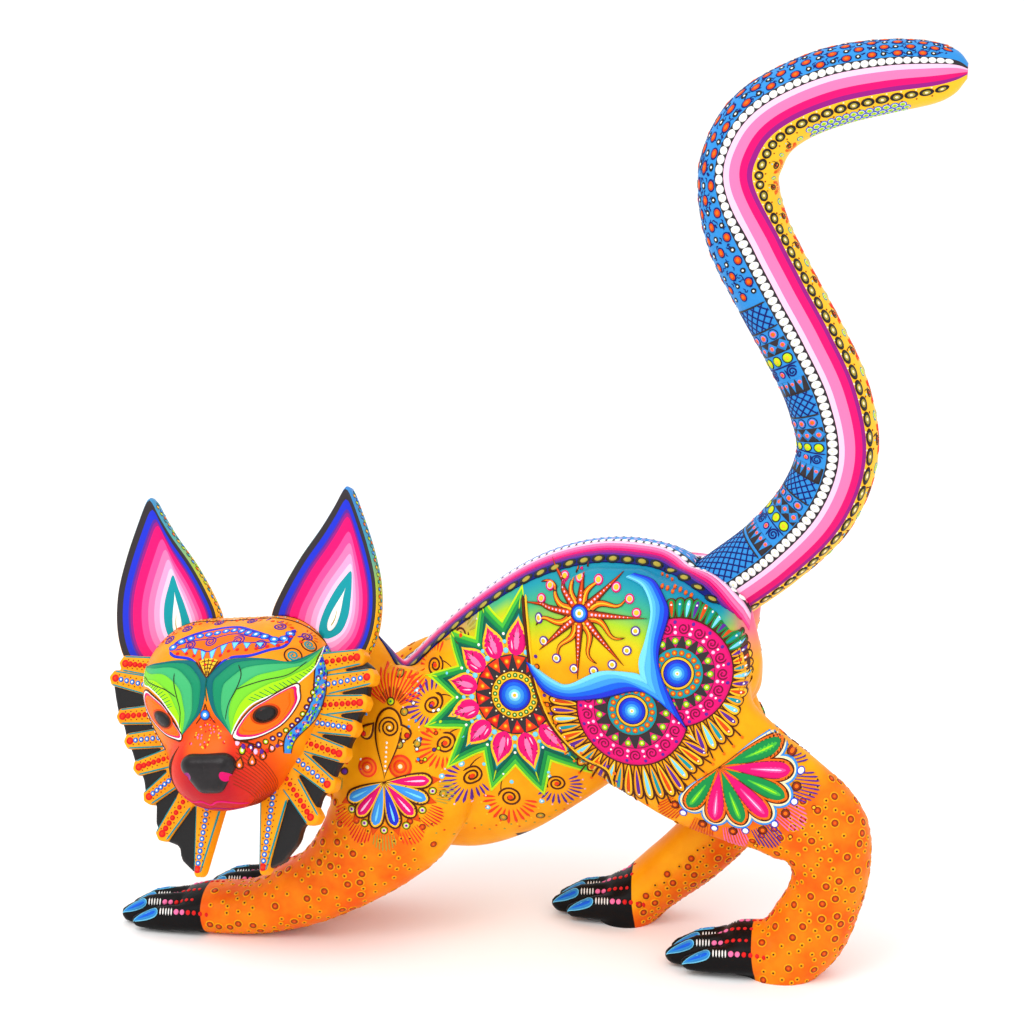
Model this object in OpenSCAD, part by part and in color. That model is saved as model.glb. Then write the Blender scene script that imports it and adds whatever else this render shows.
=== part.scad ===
// Carved and painted wooden figure of a crouching big-eared cat.
// Every carving is its own solid, joined to its neighbours by round hardwood pegs.
// The head end points to -X, the left flank to -Y, and the soles stand on Z = 0.

/* [Torso] */
// Scale of the barrel's width
torso_width = 1; // [0.95:0.01:1.05]
// Half distance between the glue planes of the two haunches
hip_plane = 22; // [20:1:24]
// Half distance between the glue planes of the two shoulders
shoulder_plane = 24; // [22:1:26]

/* [Tail] */
// Radius of the tail's round butt
tail_butt_r = 20; // [19:0.5:21]
// Radius of the tail's peg
tail_peg_r = 8; // [6:0.5:9]
// Depth of the peg in the rump
tail_peg_depth = 34; // [28:1:38]

/* [Head] */
// Turn of the head about the vertical, away from straight left
head_turn = -6; // [-9:1:-3]
// Nod of the head, negative looks up
head_nod = -5; // [-7:1:-3]
// Roll of the head, positive lifts the left ear
head_roll = 7; // [5:1:9]

/* [Ears] */
// Thickness of an ear at its middle
ear_thick = 13; // [11:0.5:14]
// Radius of an ear's peg
ear_peg_r = 4; // [3:0.5:4.5]
// Depth of an ear's peg in the skull
ear_peg_depth = 16; // [12:1:18]

/* [Fits] */
// Radial clearance of a peg that slides
slide_gap = 0.06; // [0.03:0.01:0.09]
// Radial clearance of a peg that is glued
glue_gap = 0.1; // [0.05:0.05:0.2]
// Gap between a carving that pulls off and its seat
seat_gap = 0.3; // [0.3:0.1:0.5]
// Radius of the pegs in the neck, the shoulders and the hips
dowel_r = 5; // [4:0.5:6]

/* [Hidden] */
$fn = 40;

// The figure's own box is centred on the origin by this shift.
origin_shift = [-3, 37, 0];

// Points on each carved section and steps between two stations
section_points = 16;
station_steps = 3;
// Under 1 makes a section fuller than an ellipse
fullness = 0.92;
far = 400;

// Torso stations: centre x, y, z, half-width, half-height
torso_stations = [
    [-112, 0, 100, 10, 12], [-102, 0, 99, 24, 28], [-84, 0, 98, 35, 42], [-64, 0, 103, 39, 54],
    [-44, 0, 112, 41, 66], [-20, 0, 123, 41, 76], [8, 0, 138, 41, 80], [36, 0, 153, 40, 76],
    [64, 0, 165, 38, 67], [90, 0, 170, 34, 57], [110, 0, 169, 30, 44], [124, 0, 165, 24, 31],
    [133, 0, 162, 15, 18], [137, 0, 160, 6, 8]
];
neck_stations = [
    [-58, 0, 100, 33, 33], [-80, -7, 105, 33, 33], [-102, -21, 112, 33, 33],
    [-122, -38, 119, 33, 33], [-138, -50, 123, 28, 28]
];
// Where the neck is sawn through, and the way the head's half lies
neck_cut = [-104, -22, 113];
neck_way = [-0.76, -0.6, 0.24];

tail_rise = 37;
tail_seat = [104, 0, 199];
// Extra radius of the recess round the tail's butt
recess_slack = 0.7;
// Depth of the tail's own socket for its peg
tail_socket = 26;
tail_stations = [
    [104, 0, 199, tail_butt_r, tail_butt_r], [112, 0, 205, tail_butt_r, tail_butt_r],
    [120, 0, 211, tail_butt_r, tail_butt_r], [143, 0, 230, 20, 20.5], [165, 0, 256, 20, 22],
    [175, 0, 286, 20, 22], [169, 0, 317, 20, 22.5], [155, 0, 346, 20, 22.5], [139, 0, 374, 20, 22.5],
    [124, 0, 403, 20, 22.5], [118, 0, 430, 20, 21.5], [122, 0, 448, 20, 21.5], [131, 0, 462, 20, 21],
    [147, 0, 473, 19.5, 20.5], [170, 0, 482, 19, 20.5], [196, 0, 487, 18, 19], [218, 0, 489, 15, 16],
    [230, 0, 490, 10, 11], [236, 0, 490, 4, 4]
];

hind_left = [
    [60, -27, 222, 8, 14], [61, -29, 207, 16, 42], [68, -32, 180, 20, 60], [84, -34, 150, 21.5, 57],
    [106, -36, 124, 21, 44], [130, -37, 109, 19, 37], [155, -38, 97, 18, 31], [175, -38, 82, 18, 27],
    [181, -38, 62, 18, 21.5], [178, -38, 44, 18, 20.5], [170, -39, 26, 19, 22], [158, -40, 8, 20, 20],
    [154, -40, -8, 20, 18]
];
hind_right = [
    [60, 27, 222, 8, 14], [61, 29, 207, 16, 42], [66, 31, 180, 20, 54], [76, 32, 150, 21, 52],
    [94, 31, 122, 20, 42], [113, 29, 98, 18, 32], [121, 27, 78, 17.5, 25], [113, 25, 59, 18, 20],
    [97, 23, 41, 18, 18.5], [79, 22, 25, 19, 17], [64, 21, 10, 20, 16], [58, 21, -6, 20, 16]
];
fore_left = [
    [-56, -28, 158, 8, 10], [-58, -31, 145, 16, 27], [-60, -33, 122, 20, 41], [-61, -36, 98, 21, 44],
    [-67, -39, 74, 21, 38], [-83, -42, 52, 20, 29], [-103, -43, 34, 19, 22], [-125, -44, 22, 19, 18.5],
    [-148, -44, 14, 19.5, 15], [-172, -44, 12, 20, 14], [-186, -44, 10, 19, 12]
];
fore_right = [
    [-54, 28, 158, 8, 10], [-56, 30, 144, 16, 26], [-60, 30, 122, 20, 36], [-62, 28, 96, 20, 34],
    [-68, 22, 70, 18, 28], [-82, 12, 46, 17, 21], [-100, 4, 30, 16, 16], [-120, 0, 20, 16, 15],
    [-140, -1, 12, 17, 14], [-152, -1, 9, 17, 12]
];

// Height under which a foreleg is whole, clear of the chest
arm_free = 46;
hind_foot_left = [136, -40, 12];
hind_foot_right = [60, 21, 12];
// How far each heel lies behind its foot's middle
heel_left = 22;
heel_right = 8;
fore_paw_left = [-186, -44, 9];
fore_paw_right = [-152, -1, 9];
// Toes of a paw, as steps across, back from the foremost, length and half-thickness
toes = [[-1.5, 9, 0.8], [-0.5, 0, 1], [0.5, 2, 1], [1.5, 12, 0.8]];
toe_pitch = 11;
toe_length = 38;
toe_r = 9.5;

// Head, in its own frame: +Y back, +X to the figure's left, origin at the skull's middle
head_at = [-145, -62, 131];
skull_lobes = [[-20, 4, 20, 36, 46, 38], [20, 4, 20, 36, 46, 38], [0, 0, -4, 46, 46, 36]];
ear_base = [38, 15, 40];
// Backward lean of the ears and of the ruff
lean = 16;
// An ear in its own plane: outward, then up from its base
ear_outline = [
    [-22, 0], [-22, 16], [-16, 30], [-5, 48], [8, 65], [16, 77], [22, 87], [25, 86], [30, 74],
    [37, 54], [42, 33], [42, 12], [37, -5], [27, -16], [14, -26], [-10, -24]
];
ear_way = [0.26, 0.27, 0.93];
// Depth of the skull over the ear's base, along the ear's peg
ear_seat = 16;
// Middle of the ruff's leaning plane
ruff_at = [0, 0, 25];
ruff_thick = 12;
// The ruff's rim in its leaning plane, from the crown to the long lock and back to the chin
ruff_rim_left = [
    [26, 8], [58, 16], [70, 14], [82, 5], [79, -6], [78, -16], [73, -23], [73, -29], [68, -37],
    [66, -43], [60, -52], [57, -60], [50, -68], [46, -81], [39, -84], [36, -94], [27, -104], [14, -110],
    [17, -98], [18, -85], [18, -70], [14, -50]
];
ruff_rim_right = [
    [26, 8], [58, 16], [66, 16], [80, 6], [78, -6], [75, -19], [72, -23], [69, -34], [66, -39],
    [63, -48], [58, -55], [56, -66], [49, -70], [49, -82], [44, -91], [33, -95], [32, -103], [24, -113],
    [16, -103], [10, -93], [5, -84], [2, -76], [8, -50]
];
muzzle_lobes = [[0, -20, -13, 36, 26, 31], [0, -34, -17, 30, 23, 25]];
nose_at = [1, -56, -15];
pin_places = [[47, -24], [36, -48]];
pin_r = 2.5;
// Room left in the ruff round the foot of an ear
ruff_gap = 0.6;

function unit(v) = v / norm(v);
function at(list, i) = list[max(0, min(len(list) - 1, i))];
function place(s) = [s[0], s[1], s[2]];
function catmull(a, b, c, d, t) =
    (2 * b + (c - a) * t + (2 * a - 5 * b + 4 * c - d) * t * t + (3 * b - a - 3 * c + d) * t * t * t) / 2;
function smooth(list, steps) = [
    for (i = [0:len(list) - 2]) for (j = [0:steps - 1])
        catmull(at(list, i - 1), list[i], list[i + 1], at(list, i + 2), j / steps),
    list[len(list) - 1]
];
function full(v) = sign(v) * pow(abs(v), fullness);
function heading(list, i) = unit(place(at(list, i + 1)) - place(at(list, i - 1)));
function section(s, way) =
    let (side = unit([0, 1, 0] - way * way[1]), up = cross(side, way))
    [for (k = [0:section_points - 1]) let (a = 360 * k / section_points)
        place(s) + side * s[3] * full(cos(a)) + up * s[4] * full(sin(a))];

// A carved limb through its stations, with sections square to its run or to a fixed way
module limb(stations, steps = station_steps, way = undef) {
    path = smooth(stations, steps);
    n = section_points;
    rings = [for (i = [0:len(path) - 1]) section(path[i], is_undef(way) ? heading(path, i) : way)];
    points = [for (r = rings) each r];
    sides = [for (i = [0:len(path) - 2]) for (k = [0:n - 1])
        let (a = i * n + k, b = i * n + (k + 1) % n) each [[a, b, b + n], [a, b + n, a + n]]];
    last = (len(path) - 1) * n;
    polyhedron(points, concat(sides, [[for (k = [n - 1:-1:0]) k]], [[for (k = [0:n - 1]) last + k]]));
}

// Joins what is in it into one faceted block, as one carving
module one_block() resize([0, 0, 0]) union() children();

module ball(r) scale(r) sphere(1, $fn = 20);

// Everything on the outer side of a plane at y, on the left (-1) or the right (1)
module outer(side, y) translate([0, side * (y + far / 2), 0]) cube([2 * far, far, 2 * far], center = true);

module below_floor() translate([0, 0, -far / 2]) cube([2 * far, 2 * far, far], center = true);

// A rod from one point towards a direction
module rod(from, way, r, back, ahead)
    translate(from) multmatrix(upright(way)) translate([0, 0, -back]) cylinder(r = r, h = back + ahead);

// Turns +Z onto a direction
function upright(way) =
    let (z = unit(way), x = unit(cross([0, 1, 0.01], z)), y = cross(z, x))
    [[x[0], y[0], z[0], 0], [x[1], y[1], z[1], 0], [x[2], y[2], z[2], 0], [0, 0, 0, 1]];

module in_place() translate(origin_shift) children();

module toe(at_point, length, r) hull() {
    translate(at_point + [4, 0, 2]) ball([r, r * 0.62, r * 1.15]);
    translate(at_point + [-length * 0.45, 0, 0]) ball([r, r * 0.6, r]);
    translate(at_point + [-length * 0.8, 0, -r * 0.35]) ball([r * 0.7, r * 0.45, r * 0.6]);
}

// A paw's toes, pointing to -X, with their roots about a point
module paw(root) for (t = toes)
    toe(root + [t[1] - 4, t[0] * toe_pitch, 0], toe_length, toe_r * t[2]);

// A haunch down to the ankle, sawn flat where it is glued to the torso
module haunch_limb(side) intersection() {
    limb(side < 0 ? hind_left : hind_right);
    outer(side, side < 0 ? hip_plane : 0);
}

// A shoulder and its arm, sawn flat above the height where the arm leaves the chest
module shoulder_limb(side) intersection() {
    limb(side < 0 ? fore_left : fore_right);
    union() {
        outer(side, shoulder_plane);
        translate([0, 0, arm_free - far / 2]) cube([2 * far, 2 * far, far], center = true);
    }
}

module hind_foot(side) {
    foot = side < 0 ? hind_foot_left : hind_foot_right;
    hull() {
        translate(foot) ball([16, 20, 15]);
        translate(foot + [side < 0 ? heel_left : heel_right, 0, 1]) ball([16, 19, 16]);
    }
    paw(foot - [4, 0, 2]);
}

module neck_side(front) intersection() {
    limb(neck_stations);
    translate(neck_cut) multmatrix(upright(neck_way * (front ? 1 : -1)))
        translate([0, 0, far / 2]) cube([far, far, far], center = true);
}

module torso_shape() one_block() difference() {
    union() {
        scale([1, torso_width, 1]) limb(torso_stations, way = [1, 0, 0]);
        neck_side(false);
    }
    for (side = [-1, 1]) {
        haunch_limb(side);
        shoulder_limb(side);
    }
}

tail_way = [cos(tail_rise), 0, sin(tail_rise)];

// The room that the tail's butt takes as it pulls off the rump
module tail_recess() rod(tail_seat, tail_way, tail_butt_r + recess_slack, seat_gap, 60);

module torso() color("orange") difference() {
    torso_shape();
    tail_recess();
    rod(tail_seat, tail_way, tail_peg_r + slide_gap, tail_peg_depth + 1, 10);
    rod(neck_cut, neck_way, dowel_r + glue_gap, peg_in_neck + 1, 10);
    for (side = [-1, 1]) {
        hip_bores(side);
        shoulder_bores(side);
    }
}

hip_pegs = [[52, 0, 168], [100, 0, 150]];
shoulder_pegs = [[-60, 0, 126], [-68, 0, 92]];
peg_in_torso = 14;
peg_in_hip = 14;
peg_in_arm = 12;
peg_in_neck = 21;

module cross_rods(places, side, plane, r, inward, outward) for (p = places)
    rod([p[0], side * plane, p[2]], [0, side, 0], r, inward, outward);

module hip_bores(side)
    cross_rods(hip_pegs, side, hip_plane, dowel_r + glue_gap, peg_in_torso + 1, peg_in_hip + 1);
module shoulder_bores(side)
    cross_rods(shoulder_pegs, side, shoulder_plane, dowel_r + glue_gap, peg_in_torso + 1, peg_in_arm + 1);

module hindleg(side) color("darkorange") difference() {
    one_block() {
        haunch_limb(side);
        hind_foot(side);
    }
    hip_bores(side);
    tail_recess();
    below_floor();
}

module foreleg(side) color("darkorange") difference() {
    one_block() {
        shoulder_limb(side);
        paw(side < 0 ? fore_paw_left : fore_paw_right);
    }
    shoulder_bores(side);
    below_floor();
}

module hip_dowels(side) color("burlywood")
    cross_rods(hip_pegs, side, hip_plane, dowel_r, peg_in_torso, peg_in_hip);
module shoulder_dowels(side) color("burlywood")
    cross_rods(shoulder_pegs, side, shoulder_plane, dowel_r, peg_in_torso, peg_in_arm);

module tail() color("deepskyblue") difference() {
    limb(tail_stations, 2);
    rod(tail_seat, tail_way, tail_peg_r + glue_gap, 5, tail_socket);
}

module tail_peg() color("burlywood") rod(tail_seat, tail_way, tail_peg_r, tail_peg_depth, tail_socket - 1);

module head_frame() translate(head_at) rotate([head_nod, 0, head_turn])
    rotate([0, -head_roll, 0]) children();

// One swelling shape over a list of balls
module lobes(list, grow = 0) hull() for (l = list)
    translate([l[0], l[1], l[2]]) ball([l[3] + grow, l[4] + grow, l[5] + grow]);

module skull(grow = 0) {
    lobes(skull_lobes, grow);
    lobes(muzzle_lobes, grow);
}

module nose() translate(nose_at) ball([14, 8, 11]);

module head() color("orange") difference() {
    one_block() difference() {
        union() {
            head_frame() {
                skull();
                nose();
            }
            neck_side(true);
        }
        torso_shape();
        for (side = [-1, 1]) shoulder_limb(side);
    }
    rod(neck_cut, neck_way, dowel_r + glue_gap, 10, peg_in_neck + 1);
    head_frame() for (side = [-1, 1]) {
        ear_rod(side, ear_peg_r + slide_gap, ear_peg_depth + 1, 60);
        ruff_rods(side, pin_r + glue_gap, 8, 20);
    }
}

module neck_dowel() color("burlywood") rod(neck_cut, neck_way, dowel_r, peg_in_neck, peg_in_neck);

// A thin leaning slab with the given outline, on one side of the face
module leaning_slab(side, outline, middle, thick, grow = 0) mirror([side < 0 ? 1 : 0, 0, 0])
    translate(middle) rotate([90 - lean, 0, 0])
        linear_extrude(thick + 2 * grow, center = true) offset(delta = grow) polygon(outline);

module ear_rod(side, r, below, above) rod(
    [side * ear_base[0], ear_base[1], ear_base[2]], [side * ear_way[0], ear_way[1], ear_way[2]],
    r, below - ear_seat, above + ear_seat
);

module ear(side) color("deeppink") difference() {
    one_block() head_frame() difference() {
        leaning_slab(side, ear_outline, ear_base, ear_thick);
        skull(seat_gap);
    }
    head_frame() ear_rod(side, ear_peg_r + glue_gap, 60, 23);
}

module ear_peg(side) color("burlywood") head_frame() ear_rod(side, ear_peg_r, ear_peg_depth, 22);

// Rods in the ruff's plane, running outward from the face
module ruff_rods(side, r, inward, outward) translate(ruff_at) rotate([-lean, 0, 0])
    for (p = pin_places) rod([side * p[0], 0, p[1]], [side, 0, -0.3], r, inward, outward);

module ruff(side) color("gold") difference() {
    one_block() difference() {
        head_frame() leaning_slab(side, side > 0 ? ruff_rim_left : ruff_rim_right, ruff_at, ruff_thick);
        head_frame() {
            skull();
            leaning_slab(side, ear_outline, ear_base, ear_thick, ruff_gap);
        }
        neck_side(true);
    }
    head_frame() ruff_rods(side, pin_r + glue_gap, 20, 10);
}

module ruff_pins() color("burlywood") head_frame() for (side = [-1, 1]) ruff_rods(side, pin_r, 7, 9);

in_place() torso();
in_place() head();
in_place() neck_dowel();
in_place() ruff(1);  // ruff_left
in_place() ruff(-1);  // ruff_right
in_place() ruff_pins();
in_place() ear(1);  // ear_left
in_place() ear(-1);  // ear_right
in_place() ear_peg(1);  // ear_left_peg
in_place() ear_peg(-1);  // ear_right_peg
in_place() tail();
in_place() tail_peg();
in_place() foreleg(-1);  // foreleg_left
in_place() foreleg(1);  // foreleg_right
in_place() hindleg(-1);  // hindleg_left
in_place() hindleg(1);  // hindleg_right
in_place() shoulder_dowels(-1);  // foreleg_left_dowels
in_place() shoulder_dowels(1);  // foreleg_right_dowels
in_place() hip_dowels(-1);  // hindleg_left_dowels
in_place() hip_dowels(1);  // hindleg_right_dowels
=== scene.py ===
# Looks of the carved and painted cat, built over the CAD frame.
# Everything is modelled in the design frame, in millimetres, and shifted into the row frame at the end.
import math
import random

import bmesh
import bpy
import numpy as np
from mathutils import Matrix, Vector
from mathutils.bvhtree import BVHTree


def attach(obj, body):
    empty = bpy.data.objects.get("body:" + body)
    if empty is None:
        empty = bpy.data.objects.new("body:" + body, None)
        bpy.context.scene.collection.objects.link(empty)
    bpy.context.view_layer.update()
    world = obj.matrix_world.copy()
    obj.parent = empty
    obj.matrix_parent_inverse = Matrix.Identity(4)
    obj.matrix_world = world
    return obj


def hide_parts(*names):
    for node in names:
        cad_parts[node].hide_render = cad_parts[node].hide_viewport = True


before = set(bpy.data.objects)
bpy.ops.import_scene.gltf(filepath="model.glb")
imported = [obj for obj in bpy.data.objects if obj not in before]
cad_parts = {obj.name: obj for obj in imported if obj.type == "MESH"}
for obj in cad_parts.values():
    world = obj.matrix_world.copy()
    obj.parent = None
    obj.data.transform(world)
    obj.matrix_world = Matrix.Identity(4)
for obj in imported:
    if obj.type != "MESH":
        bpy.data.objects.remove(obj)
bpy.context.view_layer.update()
random.seed(7)

MM = 0.001
SHIFT = np.array([-3.0, 37.0, 0.0])


def to_row(points):
    """Design millimetres to row-frame metres."""
    return (np.asarray(points, float) + SHIFT) * MM


def unit(v):
    v = np.asarray(v, float)
    return v / np.linalg.norm(v)


# ---------------------------------------------------------------- colours and materials

PALETTE = {
    "amber": (250, 165, 10),
    "gold": (255, 196, 40),
    "orange": (248, 112, 14),
    "deep_orange": (222, 74, 12),
    "rust": (150, 48, 14),
    "brown": (84, 36, 14),
    "black": (16, 14, 15),
    "charcoal": (52, 46, 50),
    "white": (250, 250, 246),
    "cream": (255, 238, 190),
    "lime": (196, 226, 20),
    "leaf": (74, 190, 60),
    "green": (22, 140, 70),
    "forest": (8, 92, 74),
    "deep_teal": (10, 104, 108),
    "jade": (22, 140, 98),
    "mint": (66, 180, 112),
    "spring": (120, 212, 50),
    "acid": (166, 240, 20),
    "teal": (14, 150, 160),
    "cyan": (120, 215, 250),
    "azure": (84, 184, 246),
    "sky": (60, 150, 235),
    "blue": (24, 96, 225),
    "royal": (34, 50, 205),
    "navy": (18, 26, 110),
    "tail_blue": (48, 140, 214),
    "lilac": (150, 130, 215),
    "violet": (92, 40, 150),
    "plum": (150, 26, 130),
    "wine": (128, 8, 58),
    "magenta": (226, 12, 112),
    "pink": (255, 74, 150),
    "rose": (255, 120, 175),
    "blush_pink": (255, 160, 205),
    "blush": (255, 200, 232),
    "red": (222, 30, 30),
    "scarlet": (240, 62, 24),
    "olive": (176, 158, 60),
}


def linear(rgb):
    """The linear colour of an 8-bit one, a little deeper so that the bright studio doesn't wash it out."""
    return [0.94 * (c / 12.92 if c <= 0.04045 else ((c + 0.055) / 1.055) ** 2.4)
            for c in (v / 255 for v in rgb)] + [1]


class Nodes:
    """Short hand for building one material's nodes."""

    def __init__(self, name, roughness, coat=0.0, shine=0.1):
        self.material = bpy.data.materials.new(name)
        self.material.use_nodes = True
        self.tree = self.material.node_tree
        self.shader = self.tree.nodes["Principled BSDF"]
        self.output = self.tree.nodes["Material Output"]
        self.shader.inputs["Roughness"].default_value = roughness
        self.shader.inputs["Coat Weight"].default_value = coat
        self.shader.inputs["Coat Roughness"].default_value = 0.3
        self.shader.inputs["Specular IOR Level"].default_value = shine
        self.coordinates = self.tree.nodes.new("ShaderNodeTexCoord").outputs["Object"]

    def node(self, kind, inputs=(), **settings):
        made = self.tree.nodes.new("ShaderNode" + kind)
        for key, value in settings.items():
            setattr(made, key, value)
        for key, value in dict(inputs).items():
            self.put(made.inputs[key], value)
        return made

    def put(self, socket, value):
        if isinstance(value, bpy.types.NodeSocket):
            self.tree.links.new(value, socket)
        else:
            socket.default_value = value

    def math(self, operation, a, b=0.0, c=0.0):
        return self.node("Math", {0: a, 1: b, 2: c}, operation=operation).outputs[0]

    def design_axes(self):
        """The design frame's x, y and z in millimetres, as sockets."""
        split = self.node("SeparateXYZ", {0: self.coordinates}).outputs
        return [self.math("MULTIPLY_ADD", split[i], 1 / MM, -SHIFT[i]) for i in range(3)]

    def rise(self, value, low, high):
        """0 below low, 1 above high and smooth between, or the other way when low is the larger."""
        flip = low > high
        made = self.node("MapRange", {0: value, 1: min(low, high), 2: max(low, high), 3: float(flip),
                                      4: float(not flip)},
                         interpolation_type="SMOOTHSTEP")
        return made.outputs[0]

    def mix(self, factor, a, b):
        made = self.node("Mix", {0: factor}, data_type="RGBA")
        self.put(made.inputs[6], a)
        self.put(made.inputs[7], b)
        return made.outputs[2]

    def noise(self, scale, detail=3.0):
        return self.node("TexNoise", {"Vector": self.coordinates, "Scale": scale,
                                      "Detail": detail}).outputs[0]

    def bump(self, height, strength):
        """Relief through the displacement socket, height in metres."""
        made = self.node("Displacement", {"Height": height, "Midlevel": 0.5, "Scale": strength})
        self.tree.links.new(made.outputs[0], self.output.inputs["Displacement"])

    def brushed(self, strength=0.00012):
        """The faint relief that a brush leaves in paint."""
        self.bump(self.noise(520.0, 2.0), strength)


def ramp(nodes, factor, stops):
    made = nodes.node("ValToRGB", {0: factor})
    elements = made.color_ramp.elements
    while len(elements) < len(stops):
        elements.new(0.5)
    for element, (place, name) in zip(elements, stops):
        element.position = place
        element.color = name if len(name) == 4 and name[3] == 1 else linear(PALETTE.get(name, name))
    return made.outputs[0]


def paint_materials():
    made = {}
    for name, rgb in PALETTE.items():
        nodes = Nodes("paint_" + name, 0.4, 0.0, 0.3 if name == "black" else 0.12)
        nodes.shader.inputs["Base Color"].default_value = linear(rgb)
        nodes.brushed()
        made[name] = nodes.material
    return made


PAINT = paint_materials()
NAMES = list(PALETTE)


def black_paw_mask(nodes, x, y, z):
    """1 on the four black paws, 0 above them."""
    lean = nodes.math("MULTIPLY_ADD", z, 0.12, x)
    near_side = nodes.rise(y, -15.2, -15.0)
    far_side = nodes.math("SUBTRACT", 1.0, near_side)

    def paw(edge_near, edge_far, top):
        near = nodes.math("MULTIPLY", nodes.rise(lean, edge_near + 0.2, edge_near - 0.2), far_side)
        far = nodes.math("MULTIPLY", nodes.rise(lean, edge_far + 0.2, edge_far - 0.2), near_side)
        return nodes.math("MULTIPLY", nodes.math("MAXIMUM", near, far), nodes.rise(z, top + 0.2, top - 0.2))

    fore = nodes.math("MULTIPLY", paw(-172.0, -136.0, 60.0), nodes.rise(x, -60.0, -61.0))
    hind = nodes.math("MULTIPLY", paw(143.0, 67.0, 60.0), nodes.rise(x, 0.0, 1.0))
    return nodes.math("MAXIMUM", fore, hind)


def body_material():
    """Amber ground, teal and green under the back band, orange on the legs and black on the paws."""
    nodes = Nodes("painted_ground", 0.4, 0.0)
    x, y, z = nodes.design_axes()
    mottle = nodes.noise(60.0, 4.0)
    amber = ramp(nodes, mottle, [(0.3, (243, 150, 6)), (0.7, (252, 172, 14))])
    orange = ramp(nodes, mottle, [(0.35, (238, 92, 8)), (0.65, (250, 132, 14))])
    ridge_middle, ridge_top, ridge_bow, sky_depth = 48.0, 228.0, -0.0062, 60.0
    bow = nodes.math("POWER", nodes.math("ABSOLUTE", nodes.math("SUBTRACT", x, ridge_middle)), 2.0)
    depth = nodes.math("SUBTRACT", nodes.math("MULTIPLY_ADD", bow, ridge_bow, ridge_top), z)
    aside = nodes.math("MAXIMUM", nodes.rise(x, 8.0, -4.0), nodes.rise(x, 84.0, 92.0))
    depth = nodes.math("MULTIPLY", depth, nodes.math("MULTIPLY_ADD", aside, 0.9, 1.0))
    depth = nodes.math("MULTIPLY_ADD", nodes.rise(x, 104.0, 128.0), 34.0, depth)
    sky = ramp(nodes, nodes.math("DIVIDE", depth, sky_depth), [
        (0.0, (16, 128, 172)), (0.18, (30, 150, 165)), (0.36, (70, 180, 120)), (0.52, (170, 208, 40)),
        (0.74, (244, 196, 20)), (1.0, (250, 165, 10))])
    reach = nodes.math("MULTIPLY", nodes.rise(x, -42.0, -8.0), nodes.rise(x, 137.0, 118.0))
    reach = nodes.math("MULTIPLY", reach, nodes.rise(depth, sky_depth, 50.0))
    ground = nodes.mix(reach, amber, sky)
    near = nodes.rise(y, -14.0, -16.0)
    fore = nodes.math("MULTIPLY", nodes.rise(z, 84.0, 68.0), nodes.rise(x, -36.0, -56.0))
    hind_near = nodes.math("MULTIPLY", nodes.rise(nodes.math("MULTIPLY_ADD", x, -0.55, z), 34.0, 10.0),
                           nodes.rise(x, 92.0, 110.0))
    hind_near = nodes.math("MULTIPLY", hind_near, near)
    slant = nodes.math("SUBTRACT", nodes.math("SUBTRACT", z, x), -54.0)
    hind_far = nodes.math("MULTIPLY", nodes.rise(slant, 6.0, -6.0), nodes.rise(x, 40.0, 50.0))
    hind_far = nodes.math("MULTIPLY", hind_far, nodes.math("SUBTRACT", 1.0, near))
    hind_far = nodes.math("MULTIPLY", hind_far, nodes.rise(z, 104.0, 84.0))
    legs = nodes.math("MAXIMUM", fore, nodes.math("MAXIMUM", hind_near, hind_far))
    ground = nodes.mix(legs, ground, orange)
    rump = nodes.math("MULTIPLY", nodes.rise(x, 124.0, 132.0), nodes.rise(z, 170.0, 204.0))
    ground = nodes.mix(rump, ground, linear((244, 96, 160)))
    ground = nodes.mix(black_paw_mask(nodes, x, y, z), ground, linear(PALETTE["black"]))
    nodes.put(nodes.shader.inputs["Base Color"], ground)
    nodes.brushed(0.00015)
    return nodes.material


def wood_material():
    nodes = Nodes("bare_dowel_wood", 0.6)
    grain = nodes.node("TexWave", {"Vector": nodes.coordinates, "Scale": 160.0, "Distortion": 5.0,
                                   "Detail": 3.0})
    nodes.put(nodes.shader.inputs["Base Color"],
              ramp(nodes, grain.outputs[1], [(0.2, (205, 164, 112)), (0.8, (228, 192, 142))]))
    nodes.brushed()
    return nodes.material


BODY_PAINT = body_material()
WOOD = wood_material()


# ---------------------------------------------------------------- carved shapes

TORSO = [
    [-112, 0, 100, 10, 12], [-102, 0, 99, 24, 28], [-84, 0, 98, 35, 42], [-64, 0, 103, 39, 54],
    [-44, 0, 112, 41, 66], [-20, 0, 123, 41, 76], [8, 0, 138, 41, 80], [36, 0, 153, 40, 76],
    [64, 0, 165, 38, 67], [90, 0, 170, 34, 57], [110, 0, 169, 30, 44], [124, 0, 165, 24, 31],
    [133, 0, 162, 15, 18], [137, 0, 160, 6, 8]]
NECK = [
    [-58, 0, 100, 33, 33], [-80, -7, 105, 33, 33], [-102, -21, 112, 33, 33], [-122, -38, 119, 33, 33],
    [-138, -50, 123, 28, 28]]
HIND_LEFT = [
    [60, -27, 222, 8, 14], [61, -29, 207, 16, 42], [68, -32, 180, 20, 60], [84, -34, 150, 21.5, 57],
    [106, -36, 124, 21, 44], [130, -37, 109, 19, 37], [155, -38, 97, 18, 31], [175, -38, 82, 18, 27],
    [181, -38, 62, 18, 21.5], [178, -38, 44, 18, 20.5], [170, -39, 26, 19, 22], [158, -40, 8, 20, 20],
    [154, -40, -8, 20, 18]]
HIND_RIGHT = [
    [60, 27, 222, 8, 14], [61, 29, 207, 16, 42], [66, 31, 180, 20, 54], [76, 32, 150, 21, 52],
    [94, 31, 122, 20, 42], [113, 29, 98, 18, 32], [121, 27, 78, 17.5, 25], [113, 25, 59, 18, 20],
    [97, 23, 41, 18, 18.5], [79, 22, 25, 19, 17], [64, 21, 10, 20, 16], [58, 21, -6, 20, 16]]
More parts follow.
